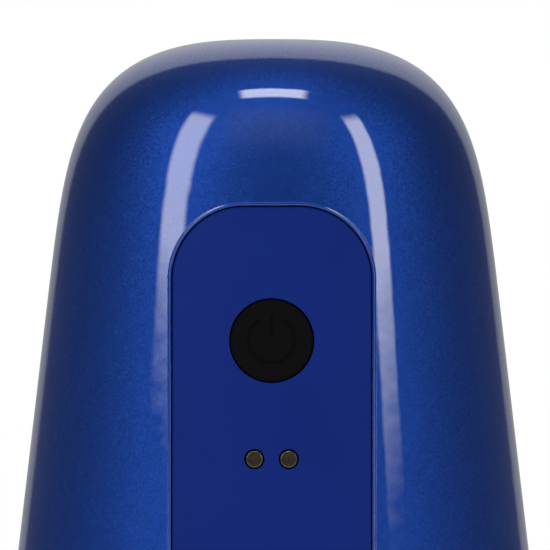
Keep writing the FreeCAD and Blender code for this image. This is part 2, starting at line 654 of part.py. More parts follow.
# ---------------------------------------------------------------- gears and drive train
TO_YZ = Rotation(Vector(1, 1, 1), 120)  # drawn in X and Y, stood up in Y and Z


def tooth_points(module, teeth, phase):
    """The outline of an involute gear, tooth by tooth, thinned at the flanks for backlash."""
    pitch = 0.5 * module * teeth
    pressure = math.radians(size["pressure_angle"])
    base = pitch * math.cos(pressure)
    tip = pitch + 0.95 * module
    root = pitch - 1.2 * module
    involute = math.tan(pressure) - pressure
    half_tooth = 0.5 * math.pi / teeth - 0.5 * size["backlash"] / pitch + involute
    flank = []
    start = max(base, root)
    for i in range(6):
        radius = start + (tip - start) * i / 5
        turn = math.acos(min(1.0, base / radius))
        flank.append((radius, half_tooth - (math.tan(turn) - turn)))
    if root < base:
        flank.insert(0, (root, flank[0][1]))
    points = []
    for k in range(teeth):
        middle = phase + 2 * math.pi * k / teeth
        for radius, half in flank:
            points.append((radius, middle - half))
        for radius, half in reversed(flank):
            points.append((radius, middle + half))
    return [Vector(r * math.cos(a), r * math.sin(a), 0) for r, a in points]


def gear(label, module, teeth, centre, along, phase):
    wire = Part.makePolygon(tooth_points(module, teeth, phase) + tooth_points(module, teeth, phase)[:1])
    width = number(f"({along[1]}) - ({along[0]})")
    shape = Part.Face(wire).extrude(Vector(0, 0, width))
    return feature(label, shape, [number(v) for v in (along[0], *centre)], TO_YZ)


def meshing_phase(phase, teeth, direction, other_teeth):
    """Phase that puts a gap of the next gear over the tooth that comes nearest the line of centres."""
    return direction + math.pi - (phase - direction) * teeth / other_teeth + math.pi / other_teeth


def teeth_of(name):
    return int(round(size[name]))


BEARING = {name: math.radians(size[name + "_bearing"]) for name in ("middle", "first", "motor")}
final_phase = BEARING["middle"]
middle_phase = meshing_phase(final_phase, teeth_of("final_teeth"), BEARING["middle"],
                             teeth_of("pinion_teeth"))
wheel_phase = BEARING["first"]
first_phase = meshing_phase(wheel_phase, teeth_of("middle_teeth"), BEARING["first"],
                            teeth_of("pinion_teeth"))
front_phase = BEARING["motor"]
motor_phase = meshing_phase(front_phase, teeth_of("first_teeth"), BEARING["motor"],
                            teeth_of("motor_pinion_teeth"))

final_wheel = gear("final_wheel", size["final_module"], teeth_of("final_teeth"), CAM, LAYER_A, final_phase)
final_slots = [rod(f"final_slot_{i}", "X", (f"cam_y + 11.2*cos({60 * i})", f"cam_z + 11.2*sin({60 * i})"),
                   ("layer_start - 1", "layer_start + layer_width + 1"), 3.4)
               for i in range(6)]
part(cut("cam_gear", final_wheel,
         rod("cam_gear_bore", "X", CAM, ("layer_start - 1", "layer_start + layer_width + 1"),
             "camshaft_radius - 1"), *final_slots))


def idler(label, centre, pinion, wheel, bore):
    joined = fuse(label + "_blank", pinion, wheel,
                  rod(label + "_hub", "X", centre, (LAYER_A[1], LAYER_B[0]), "axle_radius + 1.4"))
    return part(cut(label, joined,
                    rod(label + "_bore", "X", centre, ("layer_start - 1", f"{LAYER_B[1]} + 1"), bore)))


idler("second_idler_gear", MIDDLE,
      gear("middle_pinion", size["final_module"], teeth_of("pinion_teeth"), MIDDLE, LAYER_A, middle_phase),
      gear("middle_wheel", size["middle_module"], teeth_of("middle_teeth"), MIDDLE, LAYER_B, wheel_phase),
      "axle_radius + running_gap")
idler("first_idler_gear", FIRST,
      gear("first_wheel", size["first_module"], teeth_of("first_teeth"), FIRST, LAYER_A, front_phase),
      gear("first_pinion", size["middle_module"], teeth_of("pinion_teeth"), FIRST, LAYER_B, first_phase),
      "axle_radius + running_gap")
motor_teeth = gear("motor_teeth", size["first_module"], teeth_of("motor_pinion_teeth"), MOTOR, LAYER_A,
                   motor_phase)
part(cut("motor_pinion", motor_teeth, rod("motor_pinion_bore", "X", MOTOR, (0, FAR), 1.0)))

MOTOR_FACE = PLATE_IN
MOTOR_REAR = f"({PLATE_IN} - motor_length)"
CAP_FACE = f"({PLATE_IN} - motor_length + 3)"
can_tube = rod("can_tube", "X", MOTOR, (CAP_FACE, MOTOR_FACE), "motor_radius")
can_room = rod("can_room", "X", MOTOR, (f"{CAP_FACE} - 1", f"{MOTOR_FACE} - 1.5"), "motor_radius - 1.2")
can_taps = [rod(f"can_tap_{i}", "X", place, (f"{MOTOR_FACE} - 3", f"{MOTOR_FACE} + 1"), 1.0) for i,
            place in enumerate(MOTOR_BOLTS)]
part(cut("motor_can", can_tube, can_room,
         rod("can_nose", "X", MOTOR, (0, f"{MOTOR_FACE} + 1"), "1 + running_gap"), *can_taps))
part(cut("motor_end_cap", rod("end_cap_disc", "X", MOTOR, (MOTOR_REAR, CAP_FACE), "motor_radius - 0.5"),
         rod("end_cap_bearing", "X", MOTOR, (f"{MOTOR_REAR} + 0.8", f"{CAP_FACE} + 1"), "1 + running_gap")))
part(rod("motor_shaft", "X", MOTOR, (f"{MOTOR_REAR} + 1", "layer_start + layer_width + 0.3"), 1.0))
rotor_disc = rod("rotor_disc", "X", MOTOR, (f"{CAP_FACE} + 2", f"{MOTOR_FACE} - 3.5"), "motor_radius - 2")
rotor_slots = [rod(f"rotor_slot_{i}", "X",
                   (f"{MOTOR[0]} + (motor_radius - 3.6)*cos({72 * i})",
                    f"{MOTOR[1]} + (motor_radius - 3.6)*sin({72 * i})"),
                   (CAP_FACE, MOTOR_FACE), 2.4) for i in range(5)]
part(cut("motor_rotor", rotor_disc, rod("rotor_bore", "X", MOTOR, (-FAR, FAR), 1.0), *rotor_slots))
part(group("motor_screws", [screw(f"motor_screw_{i}", "X", place, f"{PLATE_OUT} + 0.9", -1, 1.6, 0.9, 1.0,
                                  4.2)
                            for i, place in enumerate(MOTOR_BOLTS)]))

AXLE_END = f"{LAYER_B[1]} + 1.5"
axle_list = []
clip_list = []
for name, place in (("middle", MIDDLE), ("first", FIRST)):
    stem = rod(f"{name}_axle_stem", "X", place, (PLATE_IN, AXLE_END), "axle_radius")
    collar = rod(f"{name}_axle_collar", "X", place, (PLATE_OUT, "layer_start - 0.15"), "axle_radius + 1.2")
    groove = ring(f"{name}_axle_groove", "X", place, (f"{LAYER_B[1]} + 0.2", f"{LAYER_B[1]} + 0.8"),
                  "axle_radius - 0.4", "axle_radius + 1")
    axle_list.append(cut(f"{name}_axle", fuse(f"{name}_axle_blank", stem, collar), groove))
    clip = ring(f"{name}_clip_ring", "X", place, (f"{LAYER_B[1]} + 0.2", f"{LAYER_B[1]} + 0.8"),
                "axle_radius - 0.4", "axle_radius + 1.5")
    mouth = box(f"{name}_clip_mouth", (20, 40), (f"{place[0]} - 1.1", f"{place[0]} + 1.1"),
                (f"{place[1]} - 8", place[1]))
    clip_list.append(cut(f"{name}_clip", clip, mouth))
part(group("gear_axles", axle_list))
part(group("axle_clips", clip_list))

# ---------------------------------------------------------------- camshaft, cam and drive lever
SHAFT_END = "layer_start + layer_width"
shaft_body = rod("shaft_body", "X", CAM, (f"-{PLATE_OUT} - 1.6", "layer_start - 0.1"), "camshaft_radius")
shaft_nose = rod("shaft_nose", "X", CAM, ("layer_start - 0.2", SHAFT_END), "camshaft_radius - 1")
part(fuse("camshaft", shaft_body, shaft_nose))


def bush(side, sign):
    sleeve = rod(f"{side}_bush_sleeve", "X", CAM, span(f"{PLATE_IN} - 1", f"{PLATE_OUT}", sign),
                 "camshaft_radius + 2")
    flange = rod(f"{side}_bush_flange", "X", CAM, span(PLATE_OUT, f"{PLATE_OUT} + 0.8", sign),
                 "camshaft_radius + 3.4")
    return cut(f"{side}_bush", fuse(f"{side}_bush_blank", sleeve, flange),
               rod(f"{side}_bush_bore", "X", CAM, span("0", f"{PLATE_OUT} + 2", sign),
                   "camshaft_radius + running_gap"))


part(group("camshaft_bushes", both(bush)))


def turned(y, z, angle, centre):
    """A point turned about an axis along X."""
    dy, dz = y - centre[0], z - centre[1]
    c, s = math.cos(angle), math.sin(angle)
    return centre[0] + dy * c - dz * s, centre[1] + dy * s + dz * c


def cam_outline():
    """The cam that turns the lever evenly: the roller's path seen from the cam, drawn in by the roller."""
    pivot = (size["pivot_y"], size["pivot_z"])
    centre = (size["cam_y"], size["cam_z"])
    start = (size["roller_y"], size["roller_z"])
    stroke = math.radians(size["cam_stroke"])
    lever = math.radians(size["lever_turn"])
    dwell = math.radians(12)
    steps = 96
    path = []
    for i in range(steps):
        cam = 2 * math.pi * i / steps
        if cam <= stroke:
            share = cam / stroke
        elif cam <= stroke + dwell:
            share = 1.0
        else:
            back = min(1.0, (cam - stroke - dwell) / (2 * math.pi - stroke - 3 * dwell))
            share = 0.5 + 0.5 * math.cos(math.pi * back)
        roller = turned(*start, share * lever, pivot)
        y, z = turned(*roller, -cam, centre)
        path.append((y - centre[0], z - centre[1]))
    drawn_in = size["roller_radius"] + size["cam_gap"]
    outline = []
    for i, (y, z) in enumerate(path):
        before, after = path[i - 1], path[(i + 1) % steps]
        along = (after[0] - before[0], after[1] - before[1])
        length = math.hypot(*along)
        normal = (-along[1] / length, along[0] / length)
        if normal[0] * y + normal[1] * z > 0:
            normal = (-normal[0], -normal[1])
        outline.append(Vector(y + drawn_in * normal[0], z + drawn_in * normal[1], 0))
    return outline


cam_curve = Part.BSplineCurve()
cam_curve.interpolate(Points=cam_outline(), PeriodicFlag=True)
cam_disc = feature("cam_disc",
                   Part.Face(Part.Wire(cam_curve.toShape())).extrude(Vector(0, 0, size["roller_width"])),
                   (-0.5 * size["roller_width"], size["cam_y"], size["cam_z"]), TO_YZ)
cam_hub = rod("cam_hub", "X", CAM, ("-roller_width/2 - 4", "roller_width/2"), "camshaft_radius + 2.4")
part(cut("drive_cam", fuse("cam_blank", cam_disc, cam_hub),
         rod("cam_bore", "X", CAM, (-FAR, FAR), "camshaft_radius")))

LEVER_X = ("lever_inner", "lever_inner + lever_thickness")
ARM = [("pivot_y - 6", "pivot_z - 4.5"), ("pivot_y + 3", "pivot_z - 6"), ("pivot_y + 6", "pivot_z"),
       ("pivot_y + 3", "pivot_z + 6"),
       ("roller_y + 4", "roller_z - 6"), ("tongue_y + 6", "tongue_z + 4"),
       ("tongue_y + 3.6", "tongue_z - 1.8"),
       ("roller_y - 4", "roller_z - 16.5"), ("-8", "44.5")]
lever_pieces = both(lambda side, sign: side_pad(f"{side}_lever_arm", ARM, span(*LEVER_X, sign)))
LEVER_FULL = ("-lever_inner - lever_thickness", "lever_inner + lever_thickness")
lever_pieces.append(box("lever_bridge", LEVER_FULL, ("tongue_y + 3.6", "tongue_y + 7.6"),
                        ("tongue_z - 1.8", "tongue_z + 1.8")))
lever_pieces.append(box("lever_web", LEVER_FULL, ("roller_y - 8", "roller_y + 4"),
                        ("roller_z - 14", "roller_z - 11")))
lever_pieces.append(box("tongue_bar", (-5, 5), ("tongue_y", "tongue_y + 4"),
                        ("tongue_z - tongue_radius", "tongue_z + tongue_radius")))
lever_pieces.append(rod("tongue_nose", "X", ("tongue_y", "tongue_z"), (-5, 5), "tongue_radius"))
LUG = [("roller_y - 5", "roller_z - 12"), ("roller_y + 4", "roller_z - 12"), ("roller_y + 3", "roller_z"),
       ("roller_y + 1", "roller_z + 3"), ("roller_y - 1", "roller_z + 3"), ("roller_y - 3", "roller_z")]
LUG_X = ("roller_width/2 + 0.2", "roller_width/2 + 2")
lever_pieces += both(lambda side, sign: side_pad(f"{side}_roller_lug", LUG, span(*LUG_X, sign)))
part(cut("drive_lever", fuse("lever_blank", *lever_pieces),
         rod("lever_bore", "X", PIVOT, (-FAR, FAR), "pivot_radius + running_gap"),
         rod("lever_pin_hole", "X", ROLLER, (-FAR, FAR), "roller_pin_radius")))
part(ring("cam_roller", "X", ROLLER, ("-roller_width/2", "roller_width/2"),
          "roller_pin_radius + running_gap", "roller_radius"))
part(rod("roller_pin", "X", ROLLER, ("-roller_width/2 - 2.3", "roller_width/2 + 2.3"), "roller_pin_radius"))

# ---------------------------------------------------------------- magazine head and staple driver
CHANNEL_OUT = "channel_inner + channel_thickness"
WALL = [("-staple_line - 1.2", "channel_floor"), ("pivot_y + 4", "channel_floor"),
        ("pivot_y + 6", "pivot_z"), ("pivot_y + 3.5", "pivot_z + 5.5"),
        ("pivot_y - 4", "pivot_z + 5.5"), ("pivot_y - 8", "44"), ("-staple_line - 1.2", "44")]
channel_pieces = both(lambda side,
                      sign: side_pad(f"{side}_channel_wall", WALL,
                                     span("channel_inner", CHANNEL_OUT, sign)))
channel_pieces.append(box("channel_sole", (f"-({CHANNEL_OUT})", CHANNEL_OUT),
                          ("-staple_line + 2.5", "tray_back + 6"),
                          ("channel_floor", "channel_floor + sheet_thickness")))
part(cut("magazine_channel", fuse("channel_blank", *channel_pieces),
         rod("channel_bore", "X", PIVOT, (-FAR, FAR), "pivot_radius + running_gap")))
HOLDER_X = ("-blade_width/2 - 1.2", "blade_width/2 + 1.2")
GUIDE_IN = "blade_width/2 + 1.3"
guide_pieces = both(lambda side, sign: box(
    f"{side}_guide_post", span(GUIDE_IN, "channel_inner", sign),
    ("-staple_line - 1.2", "-staple_line + 2.6"), ("rail_top + 1.2", "tongue_z + 3.8")))
guide_pieces.append(box("guide_web", ("-channel_inner", "channel_inner"),
                        ("-staple_line - 1.8", "-staple_line - 1.2"), ("46.6", "tongue_z + 2")))
part(fuse("driver_guide", *guide_pieces))
BLADE_Y = ("-staple_line - blade_thickness/2", "-staple_line + blade_thickness/2")
BLADE_TOP = "tongue_z - tongue_radius - 0.2"
part(box("driver_blade", ("-blade_width/2", "blade_width/2"), BLADE_Y, ("blade_bottom", BLADE_TOP)))
holder_block = box("holder_block", HOLDER_X, ("-staple_line - 1.0", "-staple_line + 2.6"),
                   ("tongue_z - 5", "tongue_z + 3.6"))
part(cut("driver_holder", holder_block,
         box("holder_window", (-5.3, 5.3), (-FAR, 0), (BLADE_TOP, "tongue_z + tongue_radius + 0.5")),
         box("holder_slot", ("-blade_width/2", "blade_width/2"), BLADE_Y, (0, BLADE_TOP))))

# ---------------------------------------------------------------- magazine drawer
TRAY_X = "channel_inner - 0.3"
RAIL_FRONT = "-staple_line + blade_thickness/2 + 0.1"
tray_pieces = [box("tray_sole", (f"-({TRAY_X})", TRAY_X), (RAIL_FRONT, "rail_back"),
                   ("tray_floor", "tray_floor + sheet_thickness")),
               box("tray_tail", (f"-({TRAY_X})", TRAY_X), ("tray_back - 1", "tray_back"),
                   ("tray_floor", "37.8"))]
tray_pieces += both(lambda side, sign: box(f"{side}_tray_wall", span(f"{TRAY_X} - 0.8", TRAY_X, sign),
                                           ("-staple_line - 1.3", "tray_back"), ("tray_floor", "37.8")))
tray_pieces.append(box("tray_nose", (f"-({TRAY_X})", TRAY_X), ("-staple_line - 1.3", "-staple_line - 0.4"),
                       ("channel_floor", "blade_bottom - 0.2")))
part(fuse("magazine_tray", *tray_pieces))
RAIL_X = ("-rail_half", "rail_half")
RAIL_LOW = "tray_floor + sheet_thickness"
rail_room = box("rail_room", ("-rail_half + 0.8", "rail_half - 0.8"),
                (f"{RAIL_FRONT} + 1", "rail_back - 0.8"), (f"{RAIL_LOW} + 0.8", 60))
part(cut("staple_rail", box("rail_blank", RAIL_X, (RAIL_FRONT, "rail_back"), (RAIL_LOW, "rail_top")),
         rail_room))
STRIP_BACK = f"{RAIL_FRONT} + strip_length"
CROWN = ("rail_top", "rail_top + staple_wire")
strip_pieces = [box("strip_crowns", ("-staple_half", "staple_half"), (RAIL_FRONT, STRIP_BACK), CROWN)]
strip_pieces += both(lambda side,
                     sign: box(f"{side}_strip_legs", span("staple_half - staple_wire", "staple_half", sign),
                                            (RAIL_FRONT, STRIP_BACK), (f"{RAIL_LOW} + 0.1",
                                                                       "rail_top + staple_wire")))
part(fuse("staple_strip", *strip_pieces))
PUSHER_Y = (STRIP_BACK, f"{STRIP_BACK} + pusher_length")
pusher_pieces = [box("pusher_top", ("-staple_half", "staple_half"), PUSHER_Y,
                     (f"rail_top + 0.1", "rail_top + staple_wire")),
                 box("pusher_core", ("-rail_half + 1", "rail_half - 1"), PUSHER_Y,
                     (f"{RAIL_LOW} + 1", "rail_top + 0.3"))]
pusher_pieces += both(lambda side,
                      sign: box(f"{side}_pusher_skirt", span("rail_half + 0.15", "staple_half", sign),
                                PUSHER_Y, ("36", "rail_top + staple_wire")))
part(fuse("staple_pusher", *pusher_pieces))
SPRING_Z = "rail_top - 2.6"
part(coil("pusher_spring", (0, number(SPRING_Z)), number(f"{STRIP_BACK} + pusher_length"),
          size["rail_back"] - 0.8, 1.9, 0.2, 12, "Y"))

cap_blank = common("cap_blank", panel_face,
                   box("cap_box", ("-panel_width/2 + fit_gap", "panel_width/2 - fit_gap"),
                                              Y_FRONT, (f"{MOUTH_TOP} + 0.1", "panel_bottom - fit_gap")))
cap_ribs = common("cap_ribs", panel_face,
                  box("cap_rib_box", (-8, 8), (-FAR, "-staple_line - 1.3"),
                      ("channel_floor + 0.4", "39.6")))
grip = rod("cap_grip", "X", (f"{front_at('37')} - 1.6", "37"), (-9, 9), 3.2)
LATCH_X, LATCH_Z = ("-4.4", "4.4"), ("41.4", "44.6")
FOOT_FRONT = f"{front_at('45.6')} + wall + 0.76"
FOOT_BACK = f"{FOOT_FRONT} + 0.8"
latch_hole = box("latch_hole", ("-4.55", "4.55"), (-FAR, 0), ("41.25", "44.75"))
part(cut("magazine_cap", fuse("cap_body", cut("cap_shell", cap_blank, inner), cap_ribs), grip, latch_hole))
latch_face = common("latch_face", button_face, box("latch_button", LATCH_X, (-FAR, FOOT_BACK), LATCH_Z))
latch_foot = box("latch_foot", ("-5.6", "5.6"), (FOOT_FRONT, FOOT_BACK), ("40.6", "45.6"))
part(fuse("magazine_latch", latch_face, latch_foot))

# ---------------------------------------------------------------- springs, sensor and fence
part(coil("return_spring", (number("pivot_y"), number("pivot_z")), -7, 7, number("pivot_radius") + 1.6, 0.6,
          8, "X"))
FLAG = [("sensor_y + 1", "sensor_z + 2"), ("sensor_y + 1", "table_height + 5.6"),
        ("sensor_y - 1", "table_height + 5.6"),
        ("sensor_y - 1.6", "sensor_z"), ("sensor_y - 1", "sensor_z - 5"), ("sensor_y + 1", "sensor_z - 5"),
        ("sensor_y + 1.6", "sensor_z")]
flag_body = side_pad("flag_body", FLAG, (SENSOR_IN, SENSOR_OUT))
part(fuse("paper_lever", flag_body,
          rod("flag_pin", "X", ("sensor_y", "sensor_z"), (f"{SENSOR_IN} - 1.7", f"{SENSOR_OUT} + 1.7"),
              "sensor_pin")))
part(fuse("paper_switch", box("paper_switch_body", (f"{SENSOR_IN} - 1", f"{SENSOR_OUT} + 1"),
                              ("sensor_y + 3.2", "sensor_y + 15"), (COVER_TOP, "sensor_z - 1")),
          box("paper_switch_button", ("sensor_x - 0.8", "sensor_x + 0.8"),
              ("sensor_y + 1.5", "sensor_y + 3.2"), ("sensor_z - 4.6", "sensor_z - 3"))))
fence_pieces = [box("fence_bar", ("-fence_half", "fence_half"), ("fence_y - 1.5", "fence_y"),
                    ("table_height + 0.4", "table_height + 3.6"))]
fence_pieces += both(lambda side,
                     sign: box(f"{side}_fence_stem", span(STEM_IN, STEM_OUT, sign),
                               ("fence_y - 0.5", "fence_y + 19"),
                                            ("table_height + 0.8", "table_height + 2.8")))
part(fuse("depth_fence", *fence_pieces))
part(fuse("home_switch", box("home_switch_body", (f"-{PLATE_IN}", f"-{PLATE_IN} + 6"),
                             ("cam_y - 14", "cam_y - 2"), ("cam_z + 7", "cam_z + 13")),
          box("home_switch_button", (f"-{PLATE_IN} + 2", f"-{PLATE_IN} + 4"), ("cam_y - 5", "cam_y - 3.4"),
              ("cam_z + 6", "cam_z + 7"))))

# ---------------------------------------------------------------- battery and main board
CELL_LOW = "table_height + cell_floor"
CELL_TOP = f"{CELL_LOW} + cell_length"
CELLS = [(f"{sign}(cell_radius + 0.2)", "cell_y") for sign in ("-", "")]
part(group("battery_cells", [fuse(f"cell_{i}",
                                  rod(f"cell_body_{i}", "Z", place, (CELL_LOW, CELL_TOP), "cell_radius"),
                                  rod(f"cell_tip_{i}", "Z", place, (CELL_TOP, f"{CELL_TOP} + 0.8"), 3.2))
                                  for i, place in enumerate(CELLS)]))
HOLDER_SPAN = ("-2*cell_radius - 1.6", "2*cell_radius + 1.6")
HOLDER_BACK = "cell_y + cell_radius + 1.4"
holder_set = fuse("cell_holder_set",
                  box("holder_foot", HOLDER_SPAN, ("cell_y - cell_radius + 0.6", HOLDER_BACK),
                      ("table_height", f"{CELL_LOW} + 4")),
                  box("holder_head", HOLDER_SPAN, ("cell_y - cell_radius + 0.6", HOLDER_BACK),
                      (f"{CELL_TOP} - 4", f"{CELL_TOP} + 2.4")),
                  box("holder_back", HOLDER_SPAN, ("cell_y + 4", HOLDER_BACK),
                      ("table_height", f"{CELL_TOP} + 2.4")))
cell_bores = [rod(f"cell_bore_{i}", "Z", place, (CELL_LOW, f"{CELL_TOP} + 0.9"), "cell_radius + 0.15")
              for i, place in enumerate(CELLS)]
part(cut("battery_holder", holder_set, *cell_bores))
MAIN_Y = (HOLDER_BACK, f"{HOLDER_BACK} + board_thickness")
part(box("main_circuit_board", (-18, 18), MAIN_Y, (34, 90)))
BACK = MAIN_Y[1]
components = [rod(f"capacitor_{i}", "Y", (x, z), (BACK, f"{BACK} + 7"), 3.2) for i,
              (x, z) in enumerate(((-9, 60), (-9, 70)))]
components += [box(f"chip_{i}", (x - 3, x + 3), (BACK, f"{BACK} + 1.6"), (z - 4, z + 4)) for i,
               (x, z) in enumerate(((4, 66), (5, 52)))]
components += [box("plug", (-4, 8), (BACK, f"{BACK} + 5"), (38, 43)),
               box("relay", (2, 14), (BACK, f"{BACK} + 6"), (76, 84))]
part(group("circuit_components", components))

# ---------------------------------------------------------------- check and write
doc.recompute()
for obj in doc.Objects:
    if "Invalid" in obj.State or "Error" in obj.State:
        raise RuntimeError(f"{obj.Label}: {obj.State}")
os.makedirs("parts", exist_ok=True)
for obj in PARTS:
    if obj.Shape.isNull() or not obj.Shape.isValid() or not obj.Shape.Solids:
        raise RuntimeError(f"{obj.Label} has no valid shape")
for obj in PARTS:
    obj.Shape.exportStep(f"parts/{obj.Label}.step")
print(len(PARTS), "pieces written")
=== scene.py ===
"""Looks of the electric stapler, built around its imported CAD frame. Lengths are worked out in millimetres and
turned into metres when a mesh is made."""

import json
import math

import bpy
import numpy as np
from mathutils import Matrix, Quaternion, Vector
from mathutils.geometry import delaunay_2d_cdt


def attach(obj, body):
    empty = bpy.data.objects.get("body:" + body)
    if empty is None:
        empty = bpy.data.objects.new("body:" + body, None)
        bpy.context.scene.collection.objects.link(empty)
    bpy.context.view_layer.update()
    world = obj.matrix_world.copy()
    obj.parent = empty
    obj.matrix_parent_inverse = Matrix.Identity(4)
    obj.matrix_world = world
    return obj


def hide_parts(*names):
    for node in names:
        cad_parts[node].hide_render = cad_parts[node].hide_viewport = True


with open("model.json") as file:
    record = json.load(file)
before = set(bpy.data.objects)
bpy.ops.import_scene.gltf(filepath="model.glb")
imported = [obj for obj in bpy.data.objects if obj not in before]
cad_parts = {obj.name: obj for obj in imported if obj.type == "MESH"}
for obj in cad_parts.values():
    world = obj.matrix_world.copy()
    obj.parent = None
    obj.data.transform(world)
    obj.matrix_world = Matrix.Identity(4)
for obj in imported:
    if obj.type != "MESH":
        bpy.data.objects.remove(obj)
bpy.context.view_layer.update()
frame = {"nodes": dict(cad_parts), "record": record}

MM = 0.001

# ---------------------------------------------------------------- sizes shared with the CAD
HEIGHT = 130.0
CROWN_HALF = 31.0
TAPER = 0.117
CROWN_DEPTH = 50.0
CROWN_POWER = 5.3
CORNER_POWER = 2.92
DEPTH_RATIO = 0.87
STRAIGHT = 28.0
WALL = 2.4
SEAM_Y = 20.0
FOOT = 1.6
TABLE = 24.0
MOUTH_TOP = 31.5
THROAT_Y = -20.0
PANEL_HALF = 15.8
PANEL_TOP = 103.5
PANEL_CORNER = 11.5
PANEL_BOTTOM = 46.4
PANEL_RECESS = 0.3
PANEL_GAP = 0.12
CAP_GAP = 0.2
POCKET = 1.6
BUTTON_Z = 82.3
BUTTON_RADIUS = 6.5
CONTACT_Z = 63.7
CONTACT_RADIUS = 1.47
CONTACT_X = 2.7
LATCH_HOLE_HALF = 4.55
LATCH_HOLE_LOW, LATCH_HOLE_HIGH = 41.25, 44.75
SCREWS = ((35.4, 46.0), (28.4, 104.0))
WELL_RADIUS = 3.1
WELL_DEPTH = 6.0
STRAIGHT_STEP = 1.33  # plan parameter gained for each millimetre of the straight middle
LEAN = math.atan(DEPTH_RATIO * TAPER)
STEEP_SHARE = 0.75  # share of the crown's rise that is sampled in even steps


# ---------------------------------------------------------------- the housing's surface
class Skin:
    """The housing's surface, or one inset inside it, by a plan parameter and a length along its profile."""

    def __init__(self, inset):
        crown = HEIGHT - inset
        lower = np.linspace(FOOT, crown - CROWN_DEPTH, 200)[:-1]
        # the crown's rise: even steps while it is steep, then steps that grow finer towards its flat top
        turn = 0.5 * math.pi - np.concatenate([[0.0], np.logspace(-7, math.log10(0.5 * math.pi), 2500)])
        turn = turn[::-1]
        fine = np.clip(np.sin(np.clip(turn, 0, None)), 0, 1) ** (2 / CROWN_POWER)
        even = np.linspace(0, STEEP_SHARE, 400)
        fine_width = (np.clip(np.cos(turn), 0, 1) ** (2 / CORNER_POWER))[-np.count_nonzero(fine > STEEP_SHARE):]
        rise = np.concatenate([even, fine[fine > STEEP_SHARE]])
        width = np.concatenate([(1 - even ** CROWN_POWER) ** (1 / CORNER_POWER), fine_width])
        upper = crown - CROWN_DEPTH * (1 - rise)
        z = np.concatenate([lower, upper])
        line = CROWN_HALF - inset + TAPER * (crown - z)
        w = line * np.concatenate([np.ones(len(lower)), width])
        w[-1] = 0.0
        keep = np.concatenate([[True], np.hypot(np.diff(z), np.diff(w)) > 1e-7])
        self.z, self.w = z[keep], w[keep]
        self.s = np.concatenate([[0], np.cumsum(np.hypot(np.diff(self.z), np.diff(self.w)))])
        self.dz, self.dw = np.gradient(self.z, self.s), np.gradient(self.w, self.s)
        middle = CROWN_HALF + TAPER * 0.5 * HEIGHT
        self.ratio = (DEPTH_RATIO * middle - inset) / (middle - inset)

    def s_at(self, z):
        return np.interp(z, self.z, self.s)

    def width_at(self, z):
        return np.interp(z, self.z, self.w)

    def from_xz(self, x, z):
        """Parameters of the front point at an x and a height."""
        x, z = np.asarray(x, float), np.asarray(z, float)
        u = np.degrees(np.arcsin(np.clip(x / self.width_at(z), -1, 1)))
        return np.stack([u, self.s_at(z)], axis=-1)

    def from_yz(self, side, y, z):
        """Parameters of the point on the straight middle, on one side, at a y and a height."""
        y, z = np.asarray(y, float), np.asarray(z, float)
        u = side * (90 + STRAIGHT_STEP * (y + STRAIGHT))
        return np.stack([u + 0 * z, self.s_at(z) + 0 * y], axis=-1)

    def at(self, us):
        """Points and outward normals for rows of (plan parameter, profile length)."""
        u, s = us[:, 0], us[:, 1]
        w, z = np.interp(s, self.s, self.w), np.interp(s, self.s, self.z)
        dw, dz = np.interp(s, self.s, self.dw), np.interp(s, self.s, self.dz)
        a = np.radians(np.clip(u, -90, 90))
        beyond = np.clip(np.abs(u) - 90, 0, None) / STRAIGHT_STEP
        points = np.stack([w * np.sin(a), -(STRAIGHT + self.ratio * w * np.cos(a)) + beyond, z], axis=1)
        normals = np.stack([self.ratio * dz * np.sin(a), -dz * np.cos(a), -self.ratio * dw], axis=1)
        length = np.linalg.norm(normals, axis=1, keepdims=True)
        normals = np.where(length > 1e-9, normals / np.maximum(length, 1e-9), [0, 0, 1])
        return points, normals


# ---------------------------------------------------------------- trimmed surface patches
FLAT = np.array([0.72, 1.0])  # millimetres, about, for one unit of the plan and of the profile parameter


def inside(points, loops):
    """Which points lie inside an odd number of the loops."""
    result = np.zeros(len(points), bool)
    x, y = points[:, 0], points[:, 1]
    for loop in loops:
        ahead = np.roll(loop, -1, axis=0)
        for (x0, y0), (x1, y1) in zip(loop, ahead):
            crosses = (y0 > y) != (y1 > y)
            if crosses.any():
                at_x = x0 + (y[crosses] - y0) * (x1 - x0) / (y1 - y0)
                result[np.flatnonzero(crosses)] ^= x[crosses] < at_x
    return result


def clear_of(points, loops, gap):
    """Which points are further than gap from every loop."""
    keep = np.ones(len(points), bool)
    for loop in loops:
        ahead = np.roll(loop, -1, axis=0)
        for a, b in zip(loop, ahead):
            edge = b - a
            square = edge @ edge
            if square < 1e-16:
                continue
            share = np.clip(((points - a) @ edge) / square, 0, 1)
            away = np.abs(points - a - share[:, None] * edge)
            keep &= (away ** 2).sum(axis=1) > gap * gap
    return keep


